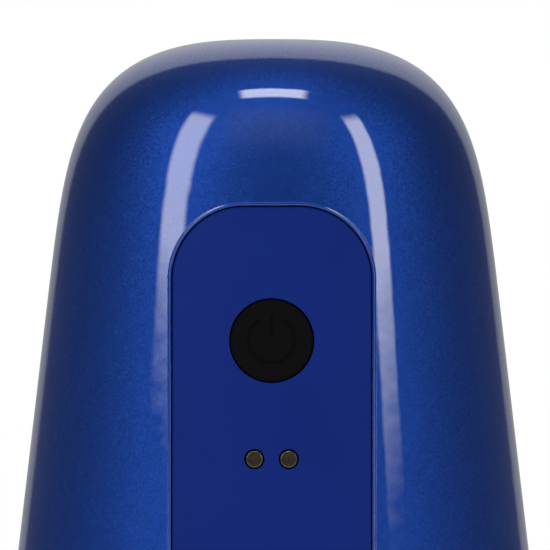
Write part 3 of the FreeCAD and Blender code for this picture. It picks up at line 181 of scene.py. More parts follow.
def patch(loops, step):
    """Triangles that fill the space between loops of flat points; the loops' points come first, in order."""
    flat = [np.asarray(loop, float) for loop in loops]
    low = np.min([loop.min(axis=0) for loop in flat], axis=0)
    high = np.max([loop.max(axis=0) for loop in flat], axis=0)
    xs = np.arange(low[0], high[0], step[0])
    ys = np.arange(low[1], high[1], step[1])
    grid = np.stack(np.meshgrid(xs, ys, indexing="ij"), axis=-1)
    grid[:, 1::2, 0] += 0.5 * step[0]  # every second row is shifted, which makes even triangles
    grid = grid.reshape(-1, 2)
    grid = grid[inside(grid, flat)]
    grid = grid[clear_of(grid, flat, 0.45 * min(step))]
    border = np.concatenate(flat)
    points = np.concatenate([border, grid])
    edges, start = [], 0
    for loop in flat:
        n = len(loop)
        edges += [(start + i, start + (i + 1) % n) for i in range(n)]
        start += n
    made = delaunay_2d_cdt([Vector(p) for p in points], edges, [], 0, 1e-9, True)
    source = [ids[0] for ids in made[3]]
    if len(made[0]) > len(points):
        raise RuntimeError("the loops of a patch cross")
    faces = np.array([[source[i] for i in face] for face in made[2]])
    centres = points[faces].mean(axis=1)
    faces = faces[inside(centres, flat)]
    a, b, c = (points[faces[:, i]] for i in range(3))
    turn = (b[:, 0] - a[:, 0]) * (c[:, 1] - a[:, 1]) - (b[:, 1] - a[:, 1]) * (c[:, 0] - a[:, 0])
    faces[turn < 0] = faces[turn < 0][:, ::-1]
    return points, faces[np.abs(turn) > 1e-12]


def placed(name, data):
    """An object of that name in the scene, showing the data."""
    obj = bpy.data.objects.new(name, data)
    bpy.context.scene.collection.objects.link(obj)
    return obj


MERGE = 2e-5


class MeshMaker:
    """Gathers faces with a normal for each corner."""

    def __init__(self):
        self.points, self.faces, self.normals = [], [], []
        self.count = 0

    def add(self, points, faces, normals):
        """Faces are rows of indices; normals are one for each point."""
        points, normals = np.asarray(points, float), np.asarray(normals, float)
        for face in faces:
            self.faces.append([self.count + i for i in face])
            self.normals.append(normals[list(face)])
        self.points.append(points)
        self.count += len(points)

    def strip(self, a, b, a_normals, b_normals):
        """Quads between two closed rows of points, but none along the crown's ridge, where the halves meet."""
        n = len(a)
        ridge = (np.abs(a[:, 0]) < 1e-6) & (np.abs(b[:, 0]) < 1e-6)
        quads = [(i, (i + 1) % n, n + (i + 1) % n, n + i) for i in range(n)
                 if not (ridge[i] and ridge[(i + 1) % n])]
        self.add(np.concatenate([a, b]), quads, np.concatenate([a_normals, b_normals]))

    def build(self, name, material, flip_y=False):
        """The object: points closer than MERGE become one, and faces that shrink to nothing are left out."""
        points = np.concatenate(self.points)
        normals = [n.copy() for n in self.normals]
        if flip_y:
            points[:, 1] *= -1
            for n in normals:
                n[:, 1] *= -1
        cells = np.round(points / MERGE).astype(np.int64)
        _, first, where = np.unique(cells, axis=0, return_index=True, return_inverse=True)
        where = where.reshape(-1)
        faces, corners = [], []
        for face, normal in zip(self.faces, normals):
            ids = [int(where[i]) for i in face]
            keep = [k for k in range(len(ids)) if ids[k] != ids[k - 1]]
            if len(keep) < 3 or len({ids[k] for k in keep}) < len(keep):
                continue
            ids = [ids[k] for k in keep]
            normal = normal[keep]
            if flip_y:
                ids, normal = ids[::-1], normal[::-1]
            faces.append(ids)
            corners.extend(normal)
        mesh = bpy.data.meshes.new(name)
        mesh.from_pydata([tuple(p) for p in points[first] * MM], [], faces)
        mesh.polygons.foreach_set("use_smooth", [True] * len(faces))
        mesh.materials.append(material)
        corners = np.array(corners)
        corners /= np.maximum(np.linalg.norm(corners, axis=1, keepdims=True), 1e-9)
        mesh.normals_split_custom_set([tuple(n) for n in corners])
        mesh.update()
        return placed(name, mesh)


def unit(v):
    """Rows scaled to length one."""
    return v / np.maximum(np.linalg.norm(v, axis=1, keepdims=True), 1e-12)


BEAD_RINGS, EDGE_RINGS = 8, 5


def bead_rings(loop, skin, fillet, bead):
    """A low bead just outside a border's rounded edge: rings from its foot inwards, with their normals."""
    height, width, share = bead
    edge = skin.at(loop(skin, 0.0))[0]
    rings = []
    for k in range(BEAD_RINGS + 1):
        q = k / BEAD_RINGS
        points, normals = skin.at(loop(skin, fillet + width * (1 - q)))
        away = unit(points - edge)
        away = unit(away - (away * normals).sum(axis=1, keepdims=True) * normals)
        slope = height / width * 6 * q * (1 - q) * share
        points = points + (height * q * q * (3 - 2 * q) * share)[:, None] * normals
        rings.append((points, unit(normals + slope[:, None] * away)))
    return rings


def signed_area(loop):
    """The loop's area, negative where it runs clockwise."""
    x, y = loop[:, 0], loop[:, 1]
    return 0.5 * float(np.sum(x * np.roll(y, -1) - np.roll(x, -1) * y))


def two_faces(maker, skin, drawn, step, back, behind, back_step):
    """The outer face on a skin inside its loops, and the inner face on the skin behind it inside theirs."""
    flat, faces = patch([loop * FLAT for loop in drawn], step)
    points, normals = skin.at(flat / FLAT)
    maker.add(points, faces, normals)
    flat, faces = patch([loop * FLAT for loop in behind], back_step)
    points, normals = back.at(flat / FLAT)
    maker.add(points, faces[:, ::-1], -normals)


def shell_piece(maker, loops, skin, back, fillets, step, back_step, bead=None):
    """A wall between two skins, trimmed along loops whose outer edges are rounded.

    Each loop is a function of (skin, amount) that gives rows of plan and profile parameters: a border drawn
    inwards by the amount, or a hole drawn outwards by it. A bead is its height, its width and a share of them for
    each point of the border.
    """
    bead_width = bead[1] if bead else 0.0
    drawn = [loop(skin, fillet + bead_width) for loop, fillet in zip(loops, fillets)]
    behind = [loop(back, 0.0) for loop in loops]
    two_faces(maker, skin, drawn, step, back, behind, back_step)
    for i, (loop, fillet) in enumerate(zip(loops, fillets)):
        start, start_normals = skin.at(drawn[i])
        edge = skin.at(loop(skin, 0.0))[0]
        end = back.at(behind[i])[0]
        order = slice(None) if signed_area(drawn[i] * FLAT) > 0 else slice(None, None, -1)
        before, before_normals = start, start_normals
        if bead:
            for ring, ring_normals in bead_rings(loop, skin, fillet, bead):
                maker.strip(ring[order], before[order], ring_normals[order], before_normals[order])
                before, before_normals = ring, ring_normals
            start, start_normals = ring, ring_normals
        down = unit(end - edge)
        wall_normal = edge - start
        wall_normal = unit(wall_normal - (wall_normal * down).sum(axis=1, keepdims=True) * down)
        sunk = edge + fillet * down
        for k in range(1, EDGE_RINGS + 1):
            q = k / EDGE_RINGS
            turn = 0.5 * math.pi * q
            ring = (1 - q) ** 2 * start + 2 * q * (1 - q) * edge + q ** 2 * sunk
            ring_normals = unit(math.cos(turn) * start_normals + math.sin(turn) * wall_normal)
            maker.strip(ring[order], before[order], ring_normals[order], before_normals[order])
            before, before_normals = ring, ring_normals
        maker.strip(end[order], sunk[order], wall_normal[order], wall_normal[order])


def line(a, b, n):
    """Numbers from a to b with b left out."""
    return a + (b - a) * np.arange(n) / n


def arch_side(sign, drawn_in, low, steps):
    """The panel outline's half from its foot up to the middle of its top, drawn outwards by drawn_in."""
    half, corner = PANEL_HALF + drawn_in, PANEL_CORNER + drawn_in
    top = PANEL_TOP + drawn_in
    up, arc, across = steps
    z = line(low, top - corner, up)
    x = np.full(up, half)
    a = line(0, 0.5 * math.pi, arc)
    x = np.concatenate([x, half - corner + corner * np.cos(a), line(half - corner, 0, across)])
    z = np.concatenate([z, top - corner + corner * np.sin(a), np.full(across, top)])
    return sign * x, z


def row(u, s, n):
    """Rows of plan and profile parameters, where either may stay the same for all n."""
    return np.stack(np.broadcast_arrays(u, s, np.zeros(n))[:2], axis=1)


SEAM_STEPS, SIDE_STEPS, THROAT_STEPS, SLOT_STEPS, FRONT_STEPS, CROWN_STEPS = 110, 40, 10, 8, 60, 200
ARCH_STEPS = (90, 36, 8)


def front_border(skin, r):
    """The front shell's edge: seam, throat, paper slot, and round the panel opening."""
    low_z, slot_z = TABLE + r, MOUTH_TOP + r
    seam_y, throat_y = SEAM_Y - r, THROAT_Y + r
    top = skin.s[-1]
    halves = []
    for side in (-1, 1):
        seam = skin.from_yz(side, seam_y, low_z)
        foot = skin.from_xz(PANEL_HALF + r, slot_z)[0]
        halves.append(np.concatenate([
            row(seam[0], line(top, seam[1], SEAM_STEPS), SEAM_STEPS),
            skin.from_yz(side, line(seam_y, throat_y, SIDE_STEPS), low_z),
            skin.from_yz(side, throat_y, line(low_z, slot_z, THROAT_STEPS)),
            skin.from_yz(side, line(throat_y, -STRAIGHT, SLOT_STEPS), slot_z),
            row(side * line(90, foot, FRONT_STEPS), skin.s_at(slot_z), FRONT_STEPS),
            skin.from_xz(*arch_side(side, r, slot_z, ARCH_STEPS))]))
    middle = skin.from_xz([0.0], [PANEL_TOP + r])
    crown = row(line(halves[0][0, 0], halves[1][0, 0], CROWN_STEPS), top, CROWN_STEPS)[1:]
    return np.concatenate([halves[0], middle, halves[1][::-1], crown[::-1]])


def turns(n):
    """Angles of n points spread round a circle."""
    return 2 * math.pi * np.arange(n) / n


def circle(skin, x, z, radius, n):
    """A circle seen straight from the front or the back."""
    a = turns(n)
    return skin.from_xz(x + radius * np.cos(a), z + radius * np.sin(a))


def lean_hole(x, z, radius, n):
    """A round hole square to the leaning front: a function of the skin and of how far it is drawn outwards."""
    a = turns(n)

    def loop(skin, r):
        return skin.from_xz(x + (radius + r) * np.cos(a), z + (radius + r) * math.cos(LEAN) * np.sin(a))

    return loop


PANEL_STEPS, PANEL_FOOT_STEPS = (90, 40, 10), 40


def panel_border(skin, r):
    """The edge of the strip let into the front: foot, right side with the arch, and left side."""
    inset = PANEL_GAP + r
    low = PANEL_BOTTOM + r
    x, z = arch_side(1, -inset, low, PANEL_STEPS)
    foot = line(-(PANEL_HALF - inset), PANEL_HALF - inset, PANEL_FOOT_STEPS)
    left = slice(-1, 0, -1)
    xs = np.concatenate([foot, x, [0.0], -x[left]])
    zs = np.concatenate([np.full(PANEL_FOOT_STEPS, low), z, [PANEL_TOP - inset], z[left]])
    return skin.from_xz(xs, zs)


SHARPEST = 0.05


def rectangle(half, low, high, corner, steps):
    """A rounded rectangle about the middle of the front, for a border (drawn inwards) or a hole (outwards)."""
    across, up, arc = steps

    def loop(skin, r, outward=1):
        out = outward * r
        h, lo, hi, c = half + out, low - out, high + out, max(SHARPEST, corner + out)
        wide, tall = 2 * (h - c), hi - lo - 2 * c
        sides = ((-h + c, lo, wide, 0, across), (h, lo + c, 0, tall, up),
                 (h - c, hi, -wide, 0, across), (-h, hi - c, 0, -tall, up))
        xs, zs = [], []
        for (x, z, dx, dz, n), turn in zip(sides, (-0.5 * math.pi, 0.0, 0.5 * math.pi, math.pi)):
            run = np.arange(n) / n
            middle_x, middle_z = x + dx - c * math.cos(turn), z + dz - c * math.sin(turn)
            a = turn + 0.5 * math.pi * np.arange(arc) / arc
            xs += [x + dx * run, middle_x + c * np.cos(a)]
            zs += [z + dz * run, middle_z + c * np.sin(a)]
        return skin.from_xz(np.concatenate(xs), np.concatenate(zs))

    return loop


outer, inner = Skin(0.0), Skin(WALL)


# ---------------------------------------------------------------- materials
def put(tree, kind, inputs=None, **settings):
    """A new node in a tree, with its settings, and its inputs set to a value or linked to an output."""
    node = tree.nodes.new(kind)
    for name, value in settings.items():
        setattr(node, name, value)
    feed(tree, node, inputs or {})
    return node


def feed(tree, node, inputs):
    """Sets or links a node's inputs."""
    for name, value in inputs.items():
        if isinstance(value, bpy.types.NodeSocket):
            tree.links.new(value, node.inputs[name])
        else:
            node.inputs[name].default_value = value


MIX_FACTOR, MIX_FIRST, MIX_SECOND, MIX_RESULT = 0, 6, 7, 2  # the sockets of a mix node that mixes colours


class Nodes:
    """A material's node tree, written as calls."""

    def __init__(self, name):
        self.material = bpy.data.materials.new(name)
        self.material.use_nodes = True
        self.tree = self.material.node_tree
        self.shader = next(n for n in self.tree.nodes if n.type == "BSDF_PRINCIPLED")
        self.place = self.put("ShaderNodeTexCoord").outputs["Object"]

    def put(self, kind, inputs=None, **settings):
        return put(self.tree, kind, inputs, **settings)

    def set(self, **values):
        """Sets or links the shader's inputs, written with a low line for each blank."""
        feed(self.tree, self.shader, {name.replace("_", " "): value for name, value in values.items()})

    def noise(self, scale, detail, roughness=0.5, stretch=None):
        vector = self.place
        if stretch:
            vector = self.put("ShaderNodeMapping", {"Vector": vector, "Scale": stretch}).outputs["Vector"]
        inputs = {"Vector": vector, "Scale": scale, "Detail": detail, "Roughness": roughness}
        return self.put("ShaderNodeTexNoise", inputs).outputs["Fac"]

    def spread(self, value, low, high):
        """The middle of a noise's range stretched over the values from low to high."""
        inputs = {"Value": value, "From Min": 0.3, "From Max": 0.7, "To Min": low, "To Max": high}
        return self.put("ShaderNodeMapRange", inputs).outputs["Result"]

    def blend(self, factor, first, second):
        inputs = {MIX_FACTOR: factor, MIX_FIRST: first, MIX_SECOND: second}
        return self.put("ShaderNodeMix", inputs, data_type="RGBA").outputs[MIX_RESULT]

    def bump(self, height, strength, distance):
        inputs = {"Height": height, "Strength": strength, "Distance": distance}
        return self.put("ShaderNodeBump", inputs).outputs["Normal"]


def rgb(r, g, b):
    """Linear colour from display values out of 255."""
    shown = (r / 255, g / 255, b / 255)
    return tuple(v / 12.92 if v <= 0.04045 else ((v + 0.055) / 1.055) ** 2.4 for v in shown) + (1.0,)


def metallic_paint():
    """Blue metallic paint: fine flakes tilted each its own way, under a clear coat with a slight ripple."""
    m = Nodes("metallic_blue")
    cells = m.put("ShaderNodeTexVoronoi", {"Vector": m.place, "Scale": 6200.0})
    tilt = m.put("ShaderNodeVectorMath", {0: cells.outputs["Color"], 1: (0.5, 0.5, 0.5)}, operation="SUBTRACT")
    small = m.put("ShaderNodeVectorMath", {0: tilt.outputs[0], "Scale": 0.25}, operation="SCALE")
    normal = m.put("ShaderNodeNewGeometry").outputs["Normal"]
    leaning = m.put("ShaderNodeVectorMath", {0: normal, 1: small.outputs[0]}, operation="ADD")
    flakes = m.put("ShaderNodeVectorMath", {0: leaning.outputs[0]}, operation="NORMALIZE")
    shade = m.blend(m.spread(m.noise(900.0, 3.0), 0.0, 1.0), rgb(20, 66, 158), rgb(24, 72, 166))
    ripple = m.bump(m.noise(260.0, 1.0, 0.4), 0.025, 0.0006)
    m.set(Base_Color=shade, Metallic=0.9, Roughness=0.5, Normal=flakes.outputs[0],
          Coat_Weight=1.0, Coat_Roughness=0.015, Coat_IOR=1.55, Coat_Normal=ripple)
    return m.material


def satin_plastic(name, dark, light, roughness, grain=1800.0, depth=0.00002, strength=0.25, specular=0.45):
    """Moulded plastic with a fine spark-eroded grain and a faint cloudiness."""
    m = Nodes(name)
    shade = m.blend(m.spread(m.noise(60.0, 3.0), 0.0, 1.0), rgb(*dark), rgb(*light))
    fine = m.noise(grain, 4.0, 0.6)
    m.set(Base_Color=shade, Roughness=m.spread(fine, roughness - 0.04, roughness + 0.05),
          Normal=m.bump(fine, strength, depth), Specular_IOR_Level=specular)
    return m.material


def metal(name, colour, roughness, stretch=(1, 1, 1), grain=900.0, strength=0.12, dark=0.75):
    """Metal with brushing, or none where nothing is stretched, and a slight change of tone."""
    m = Nodes(name)
    lines = m.noise(grain, 3.0, 0.6, stretch)
    light = rgb(*colour)
    darker = tuple(c * dark for c in light[:3]) + (1.0,)
    shade = m.blend(m.spread(lines, 0.0, 1.0), darker, light)
    m.set(Base_Color=shade, Metallic=1.0, Roughness=m.spread(lines, roughness - 0.06, roughness + 0.06),
          Normal=m.bump(lines, strength, 0.00003))
    return m.material


MATERIALS = {
    "metallic_blue": metallic_paint(),
    "panel_blue": satin_plastic("panel_blue", (21, 44, 126), (23, 46, 130), 0.55, strength=0.2,
                                specular=0.05),
    "base_black": satin_plastic("base_black", (24, 24, 26), (32, 32, 35), 0.55, 1500.0, 0.00004, 0.3),
    "foot_rubber": satin_plastic("foot_rubber", (18, 18, 18), (28, 28, 28), 0.8, 700.0, 0.00005, 0.4),
    "button_silicone": satin_plastic("button_silicone", (14, 14, 16), (17, 17, 19), 0.75, 2500.0, 0.00002,
                                     0.25, 0.04),
    "latch_black": satin_plastic("latch_black", (20, 20, 22), (28, 28, 30), 0.42),
    "contact_metal": metal("contact_metal", (112, 102, 88), 0.33, (1, 1, 1), 2400.0, 0.08, 0.88),
    "magnet_nickel": metal("magnet_nickel", (205, 203, 198), 0.22),
    "plate_steel": metal("plate_steel", (176, 180, 186), 0.38, (1, 1, 0.06), 1200.0),
    "turned_steel": metal("turned_steel", (190, 190, 194), 0.25, (0.1, 1, 1), 1500.0),
    "screw_steel": metal("screw_steel", (96, 96, 100), 0.35),
    "spring_steel": metal("spring_steel", (180, 182, 186), 0.28),
    "sheet_steel": metal("sheet_steel", (186, 190, 194), 0.34, (1, 0.06, 1), 1200.0),
    "hard_steel": metal("hard_steel", (138, 138, 144), 0.26, (1, 1, 0.08), 1500.0),
    "staple_wire": metal("staple_wire", (214, 216, 220), 0.22, (0.1, 1, 0.1), 2000.0),
    "gear_white": satin_plastic("gear_white", (226, 225, 216), (236, 235, 228), 0.38),
    "pinion_brass": metal("pinion_brass", (205, 170, 98), 0.24),
    "rotor_copper": metal("rotor_copper", (190, 112, 72), 0.3, (1, 0.1, 1), 1800.0),
    "pusher_plastic": satin_plastic("pusher_plastic", (34, 34, 37), (44, 44, 47), 0.5),
    "board_green": satin_plastic("board_green", (16, 84, 44), (22, 98, 52), 0.35),
    "switch_black": satin_plastic("switch_black", (22, 22, 23), (34, 34, 35), 0.45),
    "cell_wrap": satin_plastic("cell_wrap", (38, 112, 132), (48, 124, 146), 0.3),
}
slot_of = {part["node"]: part["material_slot"] for part in frame["record"]["subparts"]}
for node, obj in frame["nodes"].items():
    material = MATERIALS[slot_of[node]]
    if not obj.material_slots:
        obj.data.materials.append(material)
    for slot in obj.material_slots:
        slot.material = material


# ---------------------------------------------------------------- visible pieces
def stand_for(obj, body, node):
    """Lets the object ride a body and take the place of a CAD node."""
    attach(obj, body)
    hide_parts(node)


# grid steps of the faces that are seen and of those behind them, and the rounding of the shells' edges
FINE, COARSE = (1.15, 1.15), (3.0, 3.0)
EDGE = 0.3
BEAD_HEIGHT, BEAD_WIDTH = 0.07, 0.34

# the bead runs round the panel opening: both halves' arches and the point between them
ARCH_POINTS = sum(ARCH_STEPS)
HALF_BORDER = SEAM_STEPS + SIDE_STEPS + THROAT_STEPS + SLOT_STEPS + FRONT_STEPS + ARCH_POINTS
round_panel = np.zeros(len(front_border(outer, EDGE)))
round_panel[HALF_BORDER - ARCH_POINTS:HALF_BORDER + 1 + ARCH_POINTS] = 1.0
front = MeshMaker()
shell_piece(front, [front_border], outer, inner, [EDGE], FINE, COARSE, (BEAD_HEIGHT, BEAD_WIDTH, round_panel))
stand_for(front.build("front_shell_skin", MATERIALS["metallic_blue"]), "chassis", "front_shell")

REAR_STEPS, WELL_POINTS = 160, 48


def rear_border(skin, r):
    """The rear shell's edge, seen mirrored front to back: seam, foot, seam and crown."""
    low_z, seam_y, top = TABLE + r, -SEAM_Y - r, skin.s[-1]
    left, right = skin.from_yz(-1, seam_y, low_z), skin.from_yz(1, seam_y, low_z)
    return np.concatenate([row(left[0], line(top, left[1], SEAM_STEPS), SEAM_STEPS),
                           row(line(left[0], right[0], REAR_STEPS), left[1], REAR_STEPS),
                           row(right[0], line(right[1], top, SEAM_STEPS), SEAM_STEPS),
                           row(line(right[0], left[0], REAR_STEPS), top, REAR_STEPS)])


def screw_well(maker, x, z, well):
    """A blind round hole in the mirrored rear shell, with a chamfered mouth that starts at the well's loop."""
    n = WELL_POINTS
    rim, rim_normals = outer.at(well)
    ring = outer.at(circle(outer, x, z, WELL_RADIUS, n))[0]
    a = turns(n)
    across = np.stack([-np.cos(a), 0 * a, -np.sin(a)], axis=1)
    sunk = ring + [0, EDGE, 0]
    maker.strip(rim[::-1], sunk[::-1], rim_normals[::-1], across[::-1])
    floor_y = -(SEAM_Y + WELL_DEPTH)
    low = np.stack([ring[:, 0], np.full(n, floor_y), ring[:, 2]], axis=1)
    maker.strip(sunk[::-1], low[::-1], across[::-1], across[::-1])
    fan = [(i, (i + 1) % n, n) for i in range(n)]
    maker.add(np.concatenate([low, [[x, floor_y, z]]]), fan, np.tile([0.0, -1.0, 0.0], (n + 1, 1)))


def rear_shell():
    """The rear shell with four screw wells, made mirrored front to back and turned over when it is built."""
    maker = MeshMaker()
    holes = [(sign * x, z) for sign in (-1, 1) for x, z in SCREWS]
    wells = [circle(outer, x, z, WELL_RADIUS + EDGE, WELL_POINTS) for x, z in holes]
    border, behind = rear_border(outer, EDGE), rear_border(inner, 0.0)
    two_faces(maker, outer, [border] + wells, FINE, inner, [behind], COARSE)
    start, end = outer.at(border)[0], inner.at(behind)[0]
    wall = np.tile([0.0, 1.0, 0.0], (len(start), 1))
    wall[SEAM_STEPS:SEAM_STEPS + REAR_STEPS] = [0, 0, -1]
    maker.strip(end, start, wall, wall)
    for (x, z), well in zip(holes, wells):
        screw_well(maker, x, z, well)
    return maker.build("rear_shell_skin", MATERIALS["metallic_blue"], flip_y=True)


stand_for(rear_shell(), "chassis", "rear_shell")

panel_skin = Skin(PANEL_RECESS)
PANEL_FINE, CAP_FINE, PANEL_COARSE = (0.9, 0.9), (0.8, 0.8), (2.0, 2.0)
BUTTON_GAP, CONTACT_GAP = 0.1, 0.05
PANEL_EDGE, BUTTON_EDGE, CONTACT_EDGE, CAP_EDGE = 0.3, 0.1, 0.08, 0.35

panel = MeshMaker()
panel_loops = [panel_border, lean_hole(0.0, BUTTON_Z, BUTTON_RADIUS + BUTTON_GAP, 96)]
panel_loops += [lean_hole(sign * CONTACT_X, CONTACT_Z, CONTACT_RADIUS + CONTACT_GAP, 48) for sign in (-1, 1)]
shell_piece(panel, panel_loops, panel_skin, Skin(POCKET), [PANEL_EDGE, BUTTON_EDGE, CONTACT_EDGE, CONTACT_EDGE],
            PANEL_FINE, PANEL_COARSE)
stand_for(panel.build("control_panel_skin", MATERIALS["panel_blue"]), "chassis", "control_panel")

cap = MeshMaker()
cap_loop = rectangle(PANEL_HALF - CAP_GAP, MOUTH_TOP + 0.1, PANEL_BOTTOM - CAP_GAP, 0.4, (40, 20, 6))
latch_loop = rectangle(LATCH_HOLE_HALF, LATCH_HOLE_LOW, LATCH_HOLE_HIGH, 0.6, (12, 6, 6))
cap_loops = [lambda skin, r: cap_loop(skin, r, -1), latch_loop]
shell_piece(cap, cap_loops, panel_skin, Skin(WALL), [CAP_EDGE, CAP_EDGE], CAP_FINE, PANEL_COARSE)
stand_for(cap.build("magazine_cap_skin", MATERIALS["panel_blue"]), "drawer", "magazine_cap")


def smooth(x, low, high):
    """0 below low, 1 above high, and a soft step between them."""
    q = np.clip((x - low) / (high - low), 0, 1)
    return q * q * (3 - 2 * q)


def round_piece(name, material, centre, heights, radii, segments, skin, depth):
    """A round piece square to the leaning front: rings at heights over the surface, then a wall to a depth."""
    cx, cz = centre
    origin = skin.at(skin.from_xz([cx], [cz]))[0][0]
    across = np.array([1.0, 0.0, 0.0])
    up = np.array([0.0, math.sin(LEAN), math.cos(LEAN)])
    out = np.array([0.0, -math.cos(LEAN), math.sin(LEAN)])
    n = segments
    a = turns(n)
    rings = []
    for radius in radii:
        x, t = radius * np.cos(a), radius * np.sin(a)
        base = skin.at(skin.from_xz(cx + x, cz + t * math.cos(LEAN)))[0]
        rings.append(base + heights(x, t, radius)[:, None] * out)
    grid = np.array(rings)
    around = np.roll(grid, -1, axis=1) - np.roll(grid, 1, axis=1)
    normals = np.cross(np.gradient(grid, axis=0), around)
    normals /= np.maximum(np.linalg.norm(normals, axis=2, keepdims=True), 1e-12)
    if (normals[len(grid) // 2] @ out).mean() < 0:
        normals = -normals
    normals[0] = out
    maker = MeshMaker()
    faces = [(i * n + k, (i + 1) * n + k, (i + 1) * n + (k + 1) % n, i * n + (k + 1) % n)
             for i in range(len(radii) - 1) for k in range(n)]
    maker.add(grid.reshape(-1, 3), faces, normals.reshape(-1, 3))
    side = np.cos(a)[:, None] * across + np.sin(a)[:, None] * up
    low = origin + radii[-1] * side - depth * out
    maker.strip(grid[-1], low, side, side)
    fan = [((k + 1) % n, n, k) for k in range(n)]
    maker.add(np.concatenate([low, [origin - depth * out]]), fan, np.tile(-out, (n + 1, 1)))
    return maker.build(name, material)


BUTTON_RIM, BUTTON_CROWN, BUTTON_PROUD = 0.55, 0.12, 0.15
RING_RADIUS, RING_GAP = 3.62, 36.0  # the sign's ring, and the degrees it stops short of the top on each side
BAR_MIDDLE, BAR_HALF = 2.3, 1.45
SIGN_LINE, SIGN_DEPTH, SIGN_SLOPE = 0.46, 0.22, 0.07


def button_height(x, t, radius):
    """The button's face: a soft crown, a rounded rim and the standby sign sunk into it."""
    over = np.clip((radius - (BUTTON_RADIUS - BUTTON_RIM)) / BUTTON_RIM, 0, 1)
    crown = BUTTON_CROWN * (1 - (radius / BUTTON_RADIUS) ** 2)
    height = crown - BUTTON_RIM * (1 - np.sqrt(np.clip(1 - over ** 2, 0, 1)))
    from_top = np.degrees(np.arctan2(np.abs(x), t))
    past_end = RING_RADIUS * np.radians(np.clip(RING_GAP - from_top, 0, None))
    ring = np.hypot(np.abs(np.hypot(x, t) - RING_RADIUS), past_end)
    bar = np.hypot(x, np.clip(np.abs(t - BAR_MIDDLE) - BAR_HALF, 0, None))
    half = 0.5 * SIGN_LINE
    return height - SIGN_DEPTH * (1 - smooth(np.minimum(ring, bar), half - SIGN_SLOPE, half + SIGN_SLOPE))


rim_radii = BUTTON_RADIUS - BUTTON_RIM * (1 - np.sin(np.linspace(0, 0.5 * math.pi, 10)))
button_radii = np.concatenate([[1e-4], np.linspace(0.12, BUTTON_RADIUS - 0.6, 54), rim_radii])
button = round_piece("power_button_face", MATERIALS["button_silicone"], (0.0, BUTTON_Z), button_height,
                     button_radii, 288, Skin(PANEL_RECESS - BUTTON_PROUD), 2.4)
stand_for(button, "button", "power_button")

CONTACT_FLAT, CONTACT_SUNK, CONTACT_DISH, CONTACT_SLOPE = CONTACT_RADIUS - 0.3, 0.05, 0.03, 0.8


def contact_height(x, t, radius):
    """A contact's face, slightly dished, with a chamfer round it."""
    dish = CONTACT_DISH * (1 - min(1.0, radius / CONTACT_FLAT))
    return np.full_like(x, -CONTACT_SUNK - dish - max(0.0, radius - CONTACT_FLAT) * CONTACT_SLOPE)


contact_radii = [1e-4, 0.3, 0.6, 0.9] + [CONTACT_RADIUS - less for less in (0.34, 0.28, 0.15, 0.03, 0.02)]
for side, sign in (("left", -1), ("right", 1)):
    contact = round_piece(f"charge_contact_{side}", MATERIALS["contact_metal"], (sign * CONTACT_X, CONTACT_Z),
                          contact_height, contact_radii, 64, panel_skin, 3.0)
    stand_for(contact, "chassis", "charge_contacts")

# ---------------------------------------------------------------- floor, light and camera
FLOOR_RADIUS, FLOOR_SIDES = 1.3, 96
floor_mesh = bpy.data.meshes.new("floor")
floor_points = [(FLOOR_RADIUS * math.cos(a), FLOOR_RADIUS * math.sin(a), 0.0)
                for a in np.linspace(0, 2 * math.pi, FLOOR_SIDES + 1)[:-1]]
floor_mesh.from_pydata(floor_points, [], [list(range(FLOOR_SIDES))])
floor = placed("floor", floor_mesh)
floor_look = Nodes("floor_pale")
floor_look.set(Base_Color=(0.86, 0.86, 0.86, 1), Roughness=0.9,
               Emission_Color=(1, 1, 1, 1), Emission_Strength=0.3)
floor_mesh.materials.append(floor_look.material)

AIM = Vector((0.0, 0.0, 0.0926))
LAMP_DISTANCE = 0.9


def soft_edges(lamp, edges):
    """Fades the lamp's face out: each edge is an axis of the face and the shares of it where its fade begins and
    ends."""
    lamp.use_nodes = True
    tree = lamp.node_tree
    emission = next(n for n in tree.nodes if n.type == "EMISSION")
    face = put(tree, "ShaderNodeNewGeometry").outputs["Parametric"]
    shares = put(tree, "ShaderNodeSeparateXYZ", {0: face})
    brightness = None
    for axis, start, end in edges:
        inputs = {"From Min": start, "From Max": end, "Value": shares.outputs[axis]}
        fade = put(tree, "ShaderNodeMapRange", inputs, interpolation_type="SMOOTHSTEP").outputs["Result"]
        if brightness is None:
            brightness = fade
        else:
            brightness = put(tree, "ShaderNodeMath", {0: brightness, 1: fade}, operation="MULTIPLY").outputs[0]
    tree.links.new(brightness, emission.inputs["Strength"])


def area_light(name, azimuth, elevation, width, height, power, edges, roll=0.0):
    """A rectangular lamp, seen from the aim point at an azimuth (0 in front, 90 on the right) and elevation."""
    a, e = math.radians(azimuth), math.radians(elevation)
    way = Vector((math.sin(a) * math.cos(e), -math.cos(a) * math.cos(e), math.sin(e)))
    lamp = bpy.data.lights.new(name, "AREA")
    lamp.shape, lamp.size, lamp.size_y, lamp.energy = "RECTANGLE", width, height, power
    soft_edges(lamp, edges)
    obj = placed(name, lamp)
    obj.location = AIM + way * LAMP_DISTANCE
    obj.rotation_mode = "QUATERNION"
    obj.rotation_quaternion = (-way).to_track_quat("-Z", "Y") @ Quaternion((0, 0, 1), math.radians(roll))


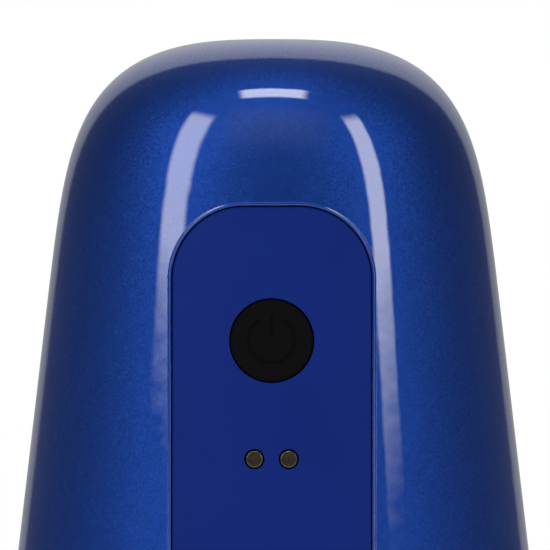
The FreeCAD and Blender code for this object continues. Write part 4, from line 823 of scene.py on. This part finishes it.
STRIP_SIDES, STRIP_FOOT = (("X", 0.0, 0.2), ("X", 1.0, 0.8)), ("Y", 0.88, 0.75)
LEFT_EDGES = STRIP_SIDES + (("Y", -0.01, 0.09), STRIP_FOOT)
RIGHT_EDGES = STRIP_SIDES + (("Y", 0.11, 0.21), STRIP_FOOT)
FILL_EDGES = (("X", 0.0, 0.4), ("X", 1.0, 0.6), ("Y", 0.0, 0.4), ("Y", 1.0, 0.6))
TOP_EDGES = (("X", 0.0, 0.15), ("X", 1.0, 0.85), ("Y", 0.0, 0.2), ("Y", 1.0, 0.8))
area_light("left_strip", -46.5, 31.0, 0.25, 0.75, 3.9, LEFT_EDGES, -3.0)
area_light("right_strip", 50.0, 27.0, 0.17, 0.85, 3.4, RIGHT_EDGES, 3.0)
area_light("front_fill", 0.0, 43.0, 1.1, 0.55, 0.6, FILL_EDGES)
area_light("top_box", 0.0, 67.0, 0.46, 0.17, 2.4, TOP_EDGES)

# The world is white where the camera sees it. What lights the object and is mirrored in it is a pale backdrop,
# which lies behind the object, sweeps up over it and grows brighter with height.
AMBIENT = 0.055
SWEEP, SWEEP_START, SWEEP_END = 0.42, 0.84, 0.91
SHINE_LOW, SHINE_GAIN = 0.32, 0.8
FLOAT_FIRST, FLOAT_SECOND = 2, 3  # the sockets of a mix node that mixes numbers

world = bpy.data.worlds.new("studio")
bpy.context.scene.world = world
world.use_nodes = True
tree = world.node_tree
tree.nodes.clear()
camera_ray = put(tree, "ShaderNodeLightPath").outputs["Is Camera Ray"]
place = put(tree, "ShaderNodeTexCoord").outputs["Generated"]
split = put(tree, "ShaderNodeSeparateXYZ", {0: place})


def world_math(operation, *values):
    return put(tree, "ShaderNodeMath", dict(enumerate(values)), operation=operation).outputs[0]


height = world_math("MAXIMUM", split.outputs["Z"], 0.0)
sweep = world_math("MULTIPLY_ADD", height, SWEEP, split.outputs["Y"])
edge = put(tree, "ShaderNodeMapRange", {"From Min": SWEEP_START, "From Max": SWEEP_END, "Value": sweep},
           interpolation_type="SMOOTHSTEP")
shine = world_math("MULTIPLY_ADD", height, SHINE_GAIN, SHINE_LOW)
backdrop = world_math("MULTIPLY_ADD", edge.outputs["Result"], shine, AMBIENT)
strength = put(tree, "ShaderNodeMix", {MIX_FACTOR: camera_ray, FLOAT_FIRST: backdrop, FLOAT_SECOND: 1.0},
               data_type="FLOAT")
light = put(tree, "ShaderNodeBackground", {"Color": (1, 1, 1, 1), "Strength": strength.outputs[0]})
put(tree, "ShaderNodeOutputWorld", {0: light.outputs[0]})

DISTANCE, YAW, FRAME_WIDTH, SENSOR_WIDTH = 3.2, math.radians(0.5), 0.088, 36.0
camera_data = bpy.data.cameras.new("camera")
camera_data.sensor_width = SENSOR_WIDTH
camera_data.lens = SENSOR_WIDTH * DISTANCE / FRAME_WIDTH
camera_data.clip_end = 100.0
camera = placed("camera", camera_data)
camera.location = AIM + Vector((math.sin(YAW), -math.cos(YAW), 0.0)) * DISTANCE
camera.rotation_mode = "QUATERNION"
camera.rotation_quaternion = (AIM - camera.location).to_track_quat("-Z", "Y")
bpy.context.scene.camera = camera
bpy.context.scene.view_settings.view_transform = "Standard"
